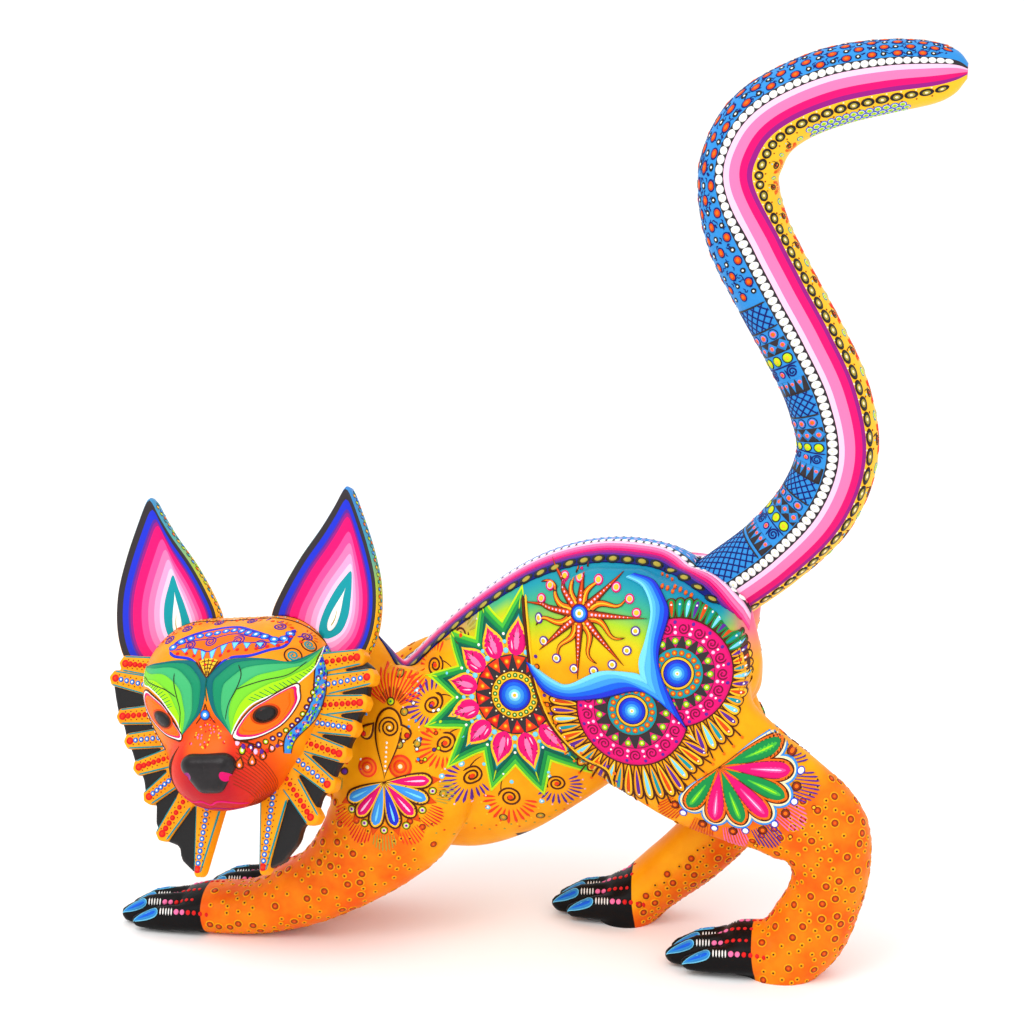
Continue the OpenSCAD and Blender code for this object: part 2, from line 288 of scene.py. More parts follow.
FORE_LEFT = [
    [-56, -28, 158, 8, 10], [-58, -31, 145, 16, 27], [-60, -33, 122, 20, 41], [-61, -36, 98, 21, 44],
    [-67, -39, 74, 21, 38], [-83, -42, 52, 20, 29], [-103, -43, 34, 19, 22], [-125, -44, 22, 19, 18.5],
    [-148, -44, 14, 19.5, 15], [-172, -44, 12, 20, 14], [-186, -44, 10, 19, 12]]
FORE_RIGHT = [
    [-54, 28, 158, 8, 10], [-56, 30, 144, 16, 26], [-60, 30, 122, 20, 36], [-62, 28, 96, 20, 34],
    [-68, 22, 70, 18, 28], [-82, 12, 46, 17, 21], [-100, 4, 30, 16, 16], [-120, 0, 20, 16, 15],
    [-140, -1, 12, 17, 14], [-152, -1, 9, 17, 12]]
TAIL = [
    [104, 0, 199, 20, 20], [112, 0, 205, 20, 20], [120, 0, 211, 20, 20], [143, 0, 230, 20, 20.5],
    [165, 0, 256, 20, 22], [175, 0, 286, 20, 22], [169, 0, 317, 20, 22.5], [155, 0, 346, 20, 22.5],
    [139, 0, 374, 20, 22.5], [124, 0, 403, 20, 22.5], [118, 0, 430, 20, 21.5], [122, 0, 448, 20, 21.5],
    [131, 0, 462, 20, 21], [147, 0, 473, 19.5, 20.5], [170, 0, 482, 19, 20.5], [196, 0, 487, 18, 19],
    [218, 0, 489, 15, 16], [230, 0, 490, 10, 11], [236, 0, 490, 4, 4]]
TAIL_SEAT = np.array([104.0, 0.0, 199.0])
TAIL_WAY = np.array([math.cos(math.radians(37)), 0.0, math.sin(math.radians(37))])
TOES = [[-1.5, 9, 0.8], [-0.5, 0, 1.0], [0.5, 2, 1.0], [1.5, 12, 0.8]]
TOE_PITCH, TOE_LENGTH, TOE_R = 11.0, 38.0, 9.5


def catmull(stations, steps):
    """Stations smoothed by a Catmull-Rom curve."""
    s = np.asarray(stations, float)
    rows = []
    for i in range(len(s) - 1):
        a, b, c, d = s[max(i - 1, 0)], s[i], s[i + 1], s[min(i + 2, len(s) - 1)]
        for j in range(steps):
            t = j / steps
            rows.append((2 * b + (c - a) * t + (2 * a - 5 * b + 4 * c - d) * t ** 2
                         + (3 * b - a - 3 * c + d) * t ** 3) / 2)
    rows.append(s[-1])
    return np.array(rows)


def rings_of(path, angles, way=None, fullness=0.92):
    """Cross sections of a limb, with an angle of 0 towards +Y and a quarter turn towards its own up."""
    rings = []
    for i, s in enumerate(path):
        run = path[min(i + 1, len(path) - 1)][:3] - path[max(i - 1, 0)][:3]
        heading = unit(run if way is None else way)
        side = unit(np.array([0, 1, 0]) - heading * heading[1])
        up = np.cross(side, heading)
        c, k = np.cos(angles), np.sin(angles)
        wide = np.sign(c) * np.abs(c) ** fullness
        tall = np.sign(k) * np.abs(k) ** fullness
        rings.append(s[:3] + np.outer(wide, side) * s[3] + np.outer(tall, up) * s[4])
    return np.array(rings)


def add_loft(mesh, stations, steps=6, around=40, way=None):
    rings = rings_of(catmull(stations, steps), np.linspace(0, 2 * math.pi, around, endpoint=False), way)
    verts = [[mesh.verts.new(p) for p in ring] for ring in rings]
    for a, b in zip(verts, verts[1:]):
        for k in range(around):
            mesh.faces.new((a[k], a[(k + 1) % around], b[(k + 1) % around], b[k]))
    mesh.faces.new(verts[0][::-1])
    mesh.faces.new(verts[-1])


def add_hull(mesh, balls):
    """The hull of some ellipsoids, each as centre and three radii."""
    part = bmesh.new()
    for centre, radii in balls:
        made = bmesh.ops.create_icosphere(part, subdivisions=4, radius=1.0)
        for v in made["verts"]:
            v.co = Vector(np.array(centre, float) + np.array(radii, float) * np.array(v.co))
    hull = bmesh.ops.convex_hull(part, input=part.verts)
    loose = [g for g in hull["geom_interior"] if isinstance(g, bmesh.types.BMVert)]
    bmesh.ops.delete(part, geom=loose, context="VERTS")
    scratch = bpy.data.meshes.new("hull")
    part.to_mesh(scratch)
    mesh.from_mesh(scratch)
    part.free()
    bpy.data.meshes.remove(scratch)


def object_of(name, mesh, material=None):
    """A linked object from a mesh in design millimetres."""
    data = bpy.data.meshes.new(name)
    bmesh.ops.recalc_face_normals(mesh, faces=mesh.faces)
    mesh.to_mesh(data)
    mesh.free()
    made = bpy.data.objects.new(name, data)
    bpy.context.scene.collection.objects.link(made)
    if material:
        data.materials.append(material)
    return made


def apply_modifiers(made):
    evaluated = made.evaluated_get(bpy.context.evaluated_depsgraph_get())
    data = bpy.data.meshes.new_from_object(evaluated)
    made.modifiers.clear()
    made.data = data
    return made


def carved(made, voxel, smoothing):
    """One smooth skin over everything in the mesh."""
    remesh = made.modifiers.new("skin", "REMESH")
    remesh.mode = "VOXEL"
    remesh.voxel_size = voxel
    soften = made.modifiers.new("soften", "SMOOTH")
    soften.iterations = smoothing
    soften.factor = 0.5
    apply_modifiers(made)
    made.data.polygons.foreach_set("use_smooth", [True] * len(made.data.polygons))
    return made


def cut(made, cutter, operation="DIFFERENCE"):
    boolean = made.modifiers.new("cut", "BOOLEAN")
    boolean.operation = operation
    boolean.solver = "EXACT"
    boolean.object = cutter
    boolean.material_mode = "TRANSFER" if cutter.data.materials else "INDEX"
    apply_modifiers(made)
    bpy.data.objects.remove(cutter)
    return made


def rod(start, way, radius, length, material=None):
    mesh = bmesh.new()
    bmesh.ops.create_cone(mesh, cap_ends=True, segments=64, radius1=radius, radius2=radius, depth=length)
    turn = Vector((0, 0, 1)).rotation_difference(Vector(unit(way))).to_matrix()
    for v in mesh.verts:
        v.co = turn @ (v.co + Vector((0, 0, length / 2))) + Vector(start)
    return object_of("rod", mesh, material)


def ground_flat(made, level=0.0):
    """Presses everything below the floor flat onto it."""
    co = np.zeros(len(made.data.vertices) * 3)
    made.data.vertices.foreach_get("co", co)
    co = co.reshape(-1, 3)
    co[:, 2] = np.maximum(co[:, 2], level)
    made.data.vertices.foreach_set("co", co.ravel())
    return made


def add_paw(mesh, root):
    for across, back, scale in TOES:
        at = np.array([root[0] + back - 4, root[1] + across * TOE_PITCH, root[2]])
        r = TOE_R * scale
        add_hull(mesh, [
            (at + [4, 0, 2], [r, r * 0.62, r * 1.15]),
            (at - [TOE_LENGTH * 0.45, 0, 0], [r, r * 0.6, r]),
            (at - [TOE_LENGTH * 0.8, 0, r * 0.35], [r * 0.7, r * 0.45, r * 0.6])])


def add_hind_foot(mesh, foot, heel):
    foot = np.array(foot, float)
    add_hull(mesh, [(foot, [16, 20, 15]), (foot + [heel, 0, 1], [16, 19, 16])])
    add_paw(mesh, foot - [4, 0, 2])


def build_body():
    mesh = bmesh.new()
    add_loft(mesh, TORSO, way=[1, 0, 0], around=64)
    for stations in (NECK, HIND_LEFT, HIND_RIGHT, FORE_LEFT, FORE_RIGHT):
        add_loft(mesh, stations)
    add_hull(mesh, [([-90, -20, 156], [16, 18, 22]), ([-80, -14, 128], [28, 28, 28])])
    for side, rump in ((-1, 114), (1, 105)):
        add_hull(mesh, [([95, side * 17, 192], [39, 21, 29]), ([rump, side * 20, 171], [25, 18, 34])])
    add_hind_foot(mesh, [136, -40, 12], 22)
    add_hind_foot(mesh, [60, 21, 12], 8)
    add_paw(mesh, [-186, -44, 9])
    add_paw(mesh, [-152, -1, 9])
    body = carved(object_of("body", mesh, BODY_PAINT), 1.7, 8)
    ground_flat(body)
    return body


# ---------------------------------------------------------------- head, in its own frame

def turn_matrix(axis, degrees):
    c, s = math.cos(math.radians(degrees)), math.sin(math.radians(degrees))
    i, j = {"x": (1, 2), "y": (2, 0), "z": (0, 1)}[axis]
    m = np.eye(3)
    m[i, i] = m[j, j] = c
    m[i, j], m[j, i] = -s, s
    return m


HEAD_AT = np.array([-145.0, -62.0, 131.0])
HEAD_TURN = turn_matrix("z", -6) @ turn_matrix("x", -5) @ turn_matrix("y", -7)
SKULL = [([-20, 4, 20], [36, 46, 38]), ([20, 4, 20], [36, 46, 38]), ([0, 0, -4], [46, 46, 36])]
MUZZLE = [([0, -20, -13], [36, 26, 31]), ([0, -34, -17], [30, 23, 25])]
NOSE_AT = np.array([1.0, -56.0, -15.0])
LEAN = math.radians(16)
PLANE_UP = np.array([0, math.sin(LEAN), math.cos(LEAN)])
PLANE_OUT = np.array([0, -math.cos(LEAN), math.sin(LEAN)])
EAR_BASE = np.array([38.0, 15.0, 40.0])
EAR_WAY = np.array([0.26, 0.27, 0.93])
EAR_THICK, EAR_SEAT = 13.0, 16.0
EAR_OUTLINE = [
    [-22, 0], [-22, 16], [-16, 30], [-5, 48], [8, 65], [16, 77], [22, 87], [25, 86], [30, 74],
    [37, 54], [42, 33], [42, 12], [37, -5], [27, -16], [14, -26], [-10, -24]]
EAR_DROPS = {
    1: [[7.1, 5.5], [7.5, 11], [11, 20], [17, 30], [22, 36], [26, 39.5], [26.5, 33], [26, 24], [24.5, 14],
        [20.5, 6],
        [14, 2.5], [9.5, 2.8]],
    -1: [[-5.2, 6], [-4, 14], [0, 25], [4, 34], [7.5, 42], [10, 36], [12.5, 26], [12.5, 16], [9.5, 7],
         [4, 2.6],
         [-1, 2.2], [-4, 3.5]]}
EAR_HEARTS = {1: ([23.8, 32.5], [13.2, 6.6]), -1: ([6.6, 35.0], [3.4, 6.4])}
RUFF_AT = np.array([0.0, 0.0, 25.0])


def head_to_design(points):
    return np.asarray(points, float) @ HEAD_TURN.T + HEAD_AT


def move(made, rule):
    co = np.zeros(len(made.data.vertices) * 3)
    made.data.vertices.foreach_get("co", co)
    made.data.vertices.foreach_set("co", rule(co.reshape(-1, 3)).ravel())
    made.data.update()
    return made


def build_skull(voxel, smoothing, grow=0.0, material=None):
    mesh = bmesh.new()
    for lobes in (SKULL, MUZZLE):
        add_hull(mesh, [(centre, np.array(radii) + grow) for centre, radii in lobes])
    return carved(object_of("skull", mesh, material), voxel, smoothing)


def head_material():
    """Amber, with the muzzle's red and orange fade."""
    nodes = Nodes("painted_face", 0.36, 0.0, 0.14)
    split = nodes.design_axes()
    offset = [nodes.math("SUBTRACT", split[i], float(HEAD_AT[i])) for i in range(3)]
    x, y, z = [
        nodes.math("ADD", nodes.math("MULTIPLY", offset[0], float(HEAD_TURN[0, k])),
                   nodes.math("MULTIPLY_ADD", offset[1], float(HEAD_TURN[1, k]),
                              nodes.math("MULTIPLY", offset[2], float(HEAD_TURN[2, k]))))
        for k in range(3)]
    away = nodes.node("VectorMath", operation="LENGTH")
    flat = nodes.node("CombineXYZ", {0: x, 1: nodes.math("MULTIPLY_ADD", y, 0.6, 28.0),
                                     2: nodes.math("MULTIPLY_ADD", z, 0.95, 22.0)})
    nodes.put(away.inputs[0], flat.outputs[0])
    forehead = ramp(nodes, nodes.noise(70.0, 4.0), [(0.35, (248, 138, 14)), (0.65, (252, 158, 18))])
    fade = ramp(nodes, nodes.math("DIVIDE", away.outputs["Value"], 50.0), [
        (0.26, (186, 22, 34)), (0.42, (212, 38, 22)), (0.6, (234, 68, 14)), (0.8, (250, 122, 8)),
        (0.98, (252, 154, 12))])
    fade = nodes.mix(nodes.rise(away.outputs["Value"], 40.0, 50.0), fade, forehead)
    bridge = nodes.math("MULTIPLY", nodes.rise(nodes.math("ABSOLUTE", x), 16.0, 7.0),
                        nodes.rise(z, 12.0, 0.0))
    bridge = nodes.math("MULTIPLY", bridge, nodes.rise(z, -22.0, -4.0))
    fade = nodes.mix(bridge, fade, linear((240, 98, 14)))
    nodes.put(nodes.shader.inputs["Base Color"], fade)
    nodes.brushed()
    return nodes.material


def build_head():
    head = build_skull(1.2, 26, material=head_material())
    for side in (-1, 1):
        way = EAR_WAY * [side, 1, 1]
        foot = EAR_BASE * [side, 1, 1] - unit(way) * (EAR_SEAT + 17)
        cut(head, rod(foot, way, 4.06, 80))
    head.name = head.data.name = "head_skin"
    return move(head, head_to_design)


def closed_curve(points, count):
    """A smooth closed outline, resampled evenly by length."""
    p = np.asarray(points, float)
    n = len(p)
    rows = []
    for i in range(n):
        a, b, c, d = p[i - 1], p[i], p[(i + 1) % n], p[(i + 2) % n]
        for j in range(12):
            t = j / 12
            rows.append((2 * b + (c - a) * t + (2 * a - 5 * b + 4 * c - d) * t ** 2
                         + (3 * b - a - 3 * c + d) * t ** 3) / 2)
    return even(np.array(rows + rows[:1]), count + 1)[:-1]


def even(points, count):
    """A polyline resampled to evenly spaced points."""
    p = np.asarray(points, float)
    run = np.concatenate([[0], np.cumsum(np.linalg.norm(np.diff(p, axis=0), axis=1))])
    at = np.linspace(0, run[-1], count)
    return np.stack([np.interp(at, run, p[:, k]) for k in range(p.shape[1])], 1)


# Bands of an ear's inside, as share of the way from the rim to the drop, and colour
EAR_BANDS = [
    (0.0, "charcoal"), (0.13, "royal"), (0.25, "violet"), (0.29, "plum"), (0.34, "magenta"), (0.52, "pink"),
    (0.66, "rose"), (0.79, "blush_pink"), (0.91, "blush"), (1.0, "teal")]


def build_ear(side):
    count = 120
    outline = closed_curve(EAR_OUTLINE, count)
    drop = closed_curve(EAR_DROPS[side], count)
    start = np.argmin(np.linalg.norm(drop - drop[np.argmax(drop[:, 1])], axis=1)) - np.argmax(outline[:, 1])
    drop = np.roll(drop, -start, axis=0)
    mesh = bmesh.new()
    base = EAR_BASE * [side, 1, 1]

    def ring(flat, height):
        made = []
        for (u, v), h in zip(flat, np.broadcast_to(height, count)):
            made.append(mesh.verts.new(base + np.array([side * u, 0, 0]) + PLANE_UP * v + PLANE_OUT * h))
        return made

    centre = np.array([14.0, 24.0])
    half = EAR_THICK / 2
    rings = []
    slots = []
    shrink = lambda k: centre + (outline - centre) * k
    for k, h in ((0.55, -half), (0.8, -half * 0.98), (0.93, -half * 0.8), (0.985, -half * 0.45),
                 (1.0, -half * 0.1)):
        rings.append(ring(shrink(k), h))
        slots.append("back")
    for k, h in ((1.0, half * 0.45), (0.992, half * 0.8), (0.97, half * 0.97)):
        rings.append(ring(shrink(k), h))
        slots.append("back")
    rim = shrink(0.97)
    for (t0, name), (t1, _) in zip(EAR_BANDS, EAR_BANDS[1:]):
        steps = max(1, round((t1 - t0) * 26))
        for j in range(1, steps + 1):
            t = t0 + (t1 - t0) * j / steps
            hollow = 1.9 * math.sin(min(t * 1.3, 1) * math.pi / 2) ** 1.5
            rings.append(ring(rim + (drop - rim) * t, half - hollow))
            slots.append(name)
    names = list(dict.fromkeys(slots + ["teal", "white", "gold"]))
    middle = drop.mean(axis=0)
    for t, name in ((0.3, "teal"), (0.9, "teal")):
        rings.append(ring(drop + (middle - drop) * t * 0.5, half - 1.9))
        slots.append(name)
    for i, (a, b) in enumerate(zip(rings, rings[1:])):
        for j in range(count):
            face = mesh.faces.new((a[j], a[(j + 1) % count], b[(j + 1) % count], b[j]))
            face.material_index = names.index(slots[i + 1])
            face.smooth = True
    back = mesh.faces.new(rings[0])
    back.material_index = names.index("back")
    front = mesh.faces.new(rings[-1][::-1])
    front.material_index = names.index("teal")
    ear = object_of("ear_" + ("left" if side > 0 else "right"), mesh)
    for name in names:
        ear.data.materials.append(EAR_BACK if name == "back" else PAINT[name])
    cut(ear, build_skull(2.0, 14, grow=0.4, material=EAR_BACK))
    return move(ear, head_to_design)


def ear_back_material():
    """Amber low down, turning lime, teal and blue towards the tip."""
    nodes = Nodes("painted_ear_back", 0.42, 0.12)
    _, _, z = nodes.design_axes()
    nodes.put(nodes.shader.inputs["Base Color"], ramp(nodes, nodes.rise(z, 150.0, 262.0), [
        (0.0, "amber"), (0.35, (246, 176, 20)), (0.55, (160, 190, 60)), (0.75, (70, 160, 160)),
        (1.0, (60, 130, 200))]))
    nodes.brushed()
    return nodes.material


EAR_BACK = ear_back_material()


# ---------------------------------------------------------------- tail

def smooth_rise(value, low, high):
    t = np.clip((value - low) / (high - low), 0, 1)
    return t * t * (3 - 2 * t)


TAIL_PATH = catmull(TAIL, 10)
TAIL_RUN = np.concatenate([[0], np.cumsum(np.linalg.norm(np.diff(TAIL_PATH[:, :3], axis=0), axis=1))])
# Stripe edges from the tail's back to its belly, in degrees, low on the tail and on its upper part
STRIPES_LOW = [0, 80, 95, 102, 117, 129, 136, 180]
STRIPES_HIGH = [0, 59, 73, 81, 93, 103, 111, 180]
STRIPE_COLOURS = ["tail_blue", "charcoal", "blush", "rose", "magenta", "plum", "gold"]


def stripe_edges(run):
    share = float(smooth_rise(run, 235, 290))
    return np.array(STRIPES_LOW) * (1 - share) + np.array(STRIPES_HIGH) * share


def tail_frame(run):
    """Centre, heading, back direction and half sizes of the tail at a run along it."""
    s = np.array([np.interp(run, TAIL_RUN, TAIL_PATH[:, k]) for k in range(5)])
    ahead = np.array([np.interp(min(run + 2, TAIL_RUN[-1]), TAIL_RUN, TAIL_PATH[:, k]) for k in range(3)])
    behind = np.array([np.interp(max(run - 2, 0), TAIL_RUN, TAIL_PATH[:, k]) for k in range(3)])
    heading = unit(ahead - behind)
    return s, heading, np.array([-heading[2], 0, heading[0]])


def tail_point(run, degrees, lift=0.0):
    """A point on the tail and its normal, by run and degrees from its back, positive on the left."""
    s, _, back = tail_frame(run)
    a = np.radians(degrees)
    c, k = np.cos(a), np.sin(a)
    wide = np.sign(k) * np.abs(k) ** 0.92
    tall = np.sign(c) * np.abs(c) ** 0.92
    normal = np.outer(np.atleast_1d(tall), back) / s[4] + np.outer(np.atleast_1d(-wide), [0, 1, 0]) / s[3]
    normal /= np.linalg.norm(normal, axis=1)[:, None]
    point = s[:3] + np.outer(np.atleast_1d(tall), back) * s[4] + np.outer(np.atleast_1d(-wide),
                                                                          [0, 1, 0]) * s[3]
    return point + normal * lift, normal


def build_tail():
    mesh = bmesh.new()
    spare = [2, 12, 2, 2, 3, 2, 2, 7]
    runs = np.concatenate([np.linspace(0, 400, 201)[:-1], np.linspace(400, TAIL_RUN[-1], 24)])
    rings, columns = [], []
    for run in runs:
        edges = stripe_edges(run)
        angles, columns = [], []
        for i in range(len(edges) - 1):
            steps = spare[i + 1]
            angles += [edges[i] + (edges[i + 1] - edges[i]) * j / steps for j in range(steps)]
            columns += [i] * steps
        angles = angles + [180] + [-a for a in angles[:0:-1]]
        columns = columns + columns[::-1]
        points, _ = tail_point(run, np.array(angles))
        rings.append([mesh.verts.new(p) for p in points])
    n = len(rings[0])
    for a, b in zip(rings, rings[1:]):
        for k in range(n):
            face = mesh.faces.new((a[k], a[(k + 1) % n], b[(k + 1) % n], b[k]))
            face.material_index = columns[k]
            face.smooth = True
    mesh.faces.new(rings[0][::-1]).material_index = len(STRIPE_COLOURS)
    mesh.faces.new(rings[-1]).material_index = 3
    tail = object_of("tail_skin", mesh)
    for name in STRIPE_COLOURS:
        tail.data.materials.append(PAINT[name])
    tail.data.materials.append(WOOD)
    return tail


# ---------------------------------------------------------------- painting on a surface

LIFT, STEP, SINK = 0.10, 0.05, 0.25
CELL = 1.9


def surface_of(*objects):
    """A tree of the surfaces of some objects that are still in the design frame."""
    points, faces = [], []
    for made in objects:
        start = len(points)
        points += [tuple(v.co) for v in made.data.vertices]
        faces += [[start + i for i in p.vertices] for p in made.data.polygons]
    return BVHTree.FromPolygons(points, faces)


def cast_rays(tree, starts, ways, out, least):
    points, normals = np.zeros((len(starts), 3)), np.zeros((len(starts), 3))
    good = np.zeros(len(starts), bool)
    for i, (start, way) in enumerate(zip(starts.tolist(), ways.tolist())):
        hit, normal, _, _ = tree.ray_cast(start, way)
        if hit is not None:
            points[i], normals[i], good[i] = hit, normal, True
    facing = np.einsum("ij,ij->i", normals, -ways if out is None else np.broadcast_to(out, normals.shape))
    return points, normals, good & (facing > least)


def flat_chart(tree, origin, right, up, out, least=0.16):
    """Flat millimetres laid on a surface along one way, seen from outside it."""
    origin, right, up, out = (np.asarray(v, float) for v in (origin, right, up, out))

    def where(uv):
        starts = origin + uv[:, :1] * right + uv[:, 1:] * up + out * 240
        return cast_rays(tree, starts, np.broadcast_to(-out, starts.shape), out, least)
    return where


def ball_chart(tree, centre, axis, right, up, radius):
    """Millimetres round a rounded form: direction and distance from its middle, as on a globe."""
    def where(uv):
        away = np.maximum(np.linalg.norm(uv, axis=1), 1e-9)
        c = away / radius
        ways = np.cos(c)[:, None] * axis + (np.sin(c) / away)[:, None] * (uv[:, :1] * right + uv[:, 1:] * up)
        return cast_rays(tree, centre + ways * 200, -ways, None, 0.12)
    return where


def local_chart(point, normal, turn=0.0):
    """A small flat patch touching the surface at one point."""
    normal = unit(normal)
    side = unit(np.cross(normal, [0.3, 0.2, 1.0]))
    rise = np.cross(normal, side)
    c, s = math.cos(turn), math.sin(turn)
    a, b = side * c + rise * s, rise * c - side * s

    def where(uv):
        return point + uv[:, :1] * a + uv[:, 1:] * b, np.tile(normal, (len(uv), 1)), np.ones(len(uv), bool)
    return where


def grid_faces(rows, columns, closed=False):
    r = np.arange(rows - 1)[:, None]
    c = np.arange(columns if closed else columns - 1)[None, :]
    a = r * columns + c
    b = r * columns + (c + 1) % columns
    quads = np.stack([a, b, b + columns, a + columns], -1).reshape(-1, 4)
    return np.concatenate([quads[:, [0, 1, 2]], quads[:, [0, 2, 3]]])


def fan_of(rings, around):
    """A unit disc: its points and triangles."""
    points = [(0.0, 0.0)]
    for i in range(1, rings + 1):
        for k in range(around):
            a = 2 * math.pi * k / around
            points.append((math.cos(a) * i / rings, math.sin(a) * i / rings))
    faces = [(0, 1 + k, 1 + (k + 1) % around) for k in range(around)]
    grid = grid_faces(rings, around, closed=True) + 1
    return np.array(points), np.array(faces + [tuple(f) for f in grid])


FANS = {}


def bend(points, count=40):
    """A smooth open curve through a few points."""
    return even(catmull(points, 10), count)


def polar(centre, radius, degrees):
    a = math.radians(degrees)
    return np.array([centre[0] + radius * math.cos(a), centre[1] + radius * math.sin(a)])


class Painter:
    """Collects painted shapes. Each is a thin closed solid that lies on a carving."""

    def __init__(self, name, chart=None):
        self.name = name
        self.chart = chart
        self.snap = None
        self.tops, self.bottoms, self.faces, self.colours = [], [], [], []
        self.count = 0

    def lay(self, flat, faces, colour, layer, dome=None):
        flat = np.asarray(flat, float)
        if self.snap is not None:
            flat = self.snap(flat)
            e, f = flat[faces[:, 1]] - flat[faces[:, 0]], flat[faces[:, 2]] - flat[faces[:, 0]]
            faces = faces[np.abs(e[:, 0] * f[:, 1] - e[:, 1] * f[:, 0]) > 2e-3]
        points, normals, good = self.chart(flat)
        faces = faces[good[faces].all(1)]
        if not len(faces):
            return
        a, b, c = (points[faces[:, k]] for k in range(3))
        span = np.maximum(np.linalg.norm(b - a, axis=1), np.linalg.norm(c - a, axis=1))
        flat_a, flat_b, flat_c = (flat[faces[:, k]] for k in range(3))
        wanted = np.maximum(np.linalg.norm(flat_b - flat_a, axis=1), np.linalg.norm(flat_c - flat_a, axis=1))
        keep = span < 4.5 * wanted + 1.0
        cross = np.cross(b - a, c - a)
        turned = np.einsum("ij,ij->i", cross, normals[faces[:, 0]]) < 0
        faces = np.where(turned[:, None], faces[:, ::-1], faces)[keep]
        if not len(faces):
            return
        height = LIFT + STEP * layer + (0 if dome is None else dome)
        self.tops.append(points + normals * np.reshape(height, (-1, 1)))
        self.bottoms.append(points - normals * SINK)
        self.faces.append(faces + self.count)
        self.colours.append(np.full(len(faces), NAMES.index(colour)))
        self.count += len(points)

    # shapes, in chart millimetres

    def disc(self, centre, radius, colour, layer, dome=0.0, stretch=1.0, turn=0.0):
        rings = max(1 + (dome > 0), math.ceil(radius / CELL))
        around = int(min(48, max(8, 7 + radius * 4)))
        if (rings, around) not in FANS:
            FANS[rings, around] = fan_of(rings, around)
        unit_points, faces = FANS[rings, around]
        c, s = math.cos(math.radians(turn)), math.sin(math.radians(turn))
        shape = unit_points * [radius * stretch, radius]
        shape = shape @ np.array([[c, s], [-s, c]]) + centre
        raised = dome * (1 - (unit_points ** 2).sum(1)) if dome else None
        self.lay(shape, faces, colour, layer, raised)

    def beads(self, centre, rings, layer, stretch=1.0, turn=0.0, dome=0.25):
        """Discs one on another, largest first, the last one raised."""
        for i, (radius, colour) in enumerate(rings):
            last = i == len(rings) - 1
            self.disc(centre, radius, colour, layer + i, dome if last else 0.0, stretch, turn)

    def between(self, a, b, colour, layer, closed=False):
        a, b = np.asarray(a, float), np.asarray(b, float)
        steps = max(1, math.ceil(np.linalg.norm(b - a, axis=1).max() / CELL))
        t = np.linspace(0, 1, steps + 1)[:, None, None]
        rows = a[None] * (1 - t) + b[None] * t
        self.lay(rows.reshape(-1, 2), grid_faces(steps + 1, len(a), closed), colour, layer)

    def bands(self, a, b, shares, colours, layer, closed=False):
        a, b = np.asarray(a, float), np.asarray(b, float)
        for t0, t1, colour in zip(shares, shares[1:], colours):
            self.between(a + (b - a) * t0, a + (b - a) * t1, colour, layer, closed)

    def ring(self, centre, inner, outer, colour, layer, start=0, end=360):
        closed = end - start >= 360
        count = int(max(16, outer * math.radians(end - start) / CELL * 1.3))
        angles = np.linspace(start, end, count, endpoint=not closed)
        shape = [np.array([polar(centre, r, a) for a in angles]) for r in (inner, outer)]
        self.between(shape[0], shape[1], colour, layer, closed)

    def stroke(self, points, width, colour, layer, taper=(1.0, 1.0), dome=0.0):
        points = np.asarray(points, float)
        length = np.linalg.norm(np.diff(points, axis=0), axis=1).sum()
        count = max(5, math.ceil(length / min(CELL, 0.6 + width * 0.8)) + 1)
        path = even(points, count)
        run = np.linspace(0, length, count)
        half = width / 2 * np.interp(run, [0, length], taper)
        end = np.minimum(run, length - run)
        half = np.maximum(half * np.sqrt(1 - (1 - np.clip(end / np.maximum(half, 1e-3), 0, 1)) ** 2), 0.04)
        ahead = np.gradient(path, axis=0)
        ahead /= np.maximum(np.linalg.norm(ahead, axis=1), 1e-9)[:, None]
        across = np.stack([-ahead[:, 1], ahead[:, 0]], 1) * half[:, None]
        columns = 3 if width > 1.6 or dome else 2
        t = np.linspace(-1, 1, columns)
        rows = path[:, None] + across[:, None] * t[None, :, None]
        raised = np.tile(dome * (1 - t ** 2), count) if dome else None
        self.lay(rows.reshape(-1, 2), grid_faces(count, columns), colour, layer, raised)

    def drop(self, base, tip, width, colour, layer, wide_at=0.7, power=1.1, share=(0.0, 1.0), slim=1.0,
             dome=0.0):
        """A teardrop from a pointed base to a round tip, or a part of it made slimmer."""
        base, tip = np.asarray(base, float), np.asarray(tip, float)
        axis = tip - base
        base, tip = base + axis * share[0], base + axis * share[1]
        axis = tip - base
        length = np.linalg.norm(axis)
        across = np.array([-axis[1], axis[0]]) / length
        rows = max(7, math.ceil(length / CELL) + 3)
        t = (1 - np.cos(np.linspace(0, math.pi, rows))) / 2
        early = np.sin(np.pi / 2 * np.clip(t / wide_at, 0, 1)) ** power
        late = np.sqrt(np.clip(1 - ((t - wide_at) / (1 - wide_at)) ** 2, 0, 1))
        half = np.maximum(np.where(t < wide_at, early, late) * width * slim / 2, 0.03)
        columns = max(3 if dome else 2, math.ceil(width * slim / CELL) + 1)
        k = np.linspace(-1, 1, columns)
        shape = base + t[:, None, None] * axis + half[:, None, None] * k[None, :, None] * across
        raised = (dome * np.sqrt(half / half.max())[:, None] * (1 - k ** 2)[None]).ravel() if dome else None
        self.lay(shape.reshape(-1, 2), grid_faces(rows, columns), colour, layer, raised)

    def nested_drop(self, base, tip, width, layers, layer, **form):
        """Drops inside one another: each (slimness, share of the length, colour)."""
        for i, (slim, share, colour) in enumerate(layers):
            self.drop(base, tip, width, colour, layer + i, slim=slim, share=share, **form)

    def spiral(self, centre, inner, outer, turns, start, width, colour, layer, way=1):
        a = np.linspace(0, 1, max(16, int(turns * 16)))
        r = inner + (outer - inner) * a
        angles = np.radians(start) + way * a * turns * 2 * math.pi
        self.stroke(np.stack([centre[0] + r * np.cos(angles), centre[1] + r * np.sin(angles)], 1), width,
                    colour, layer)

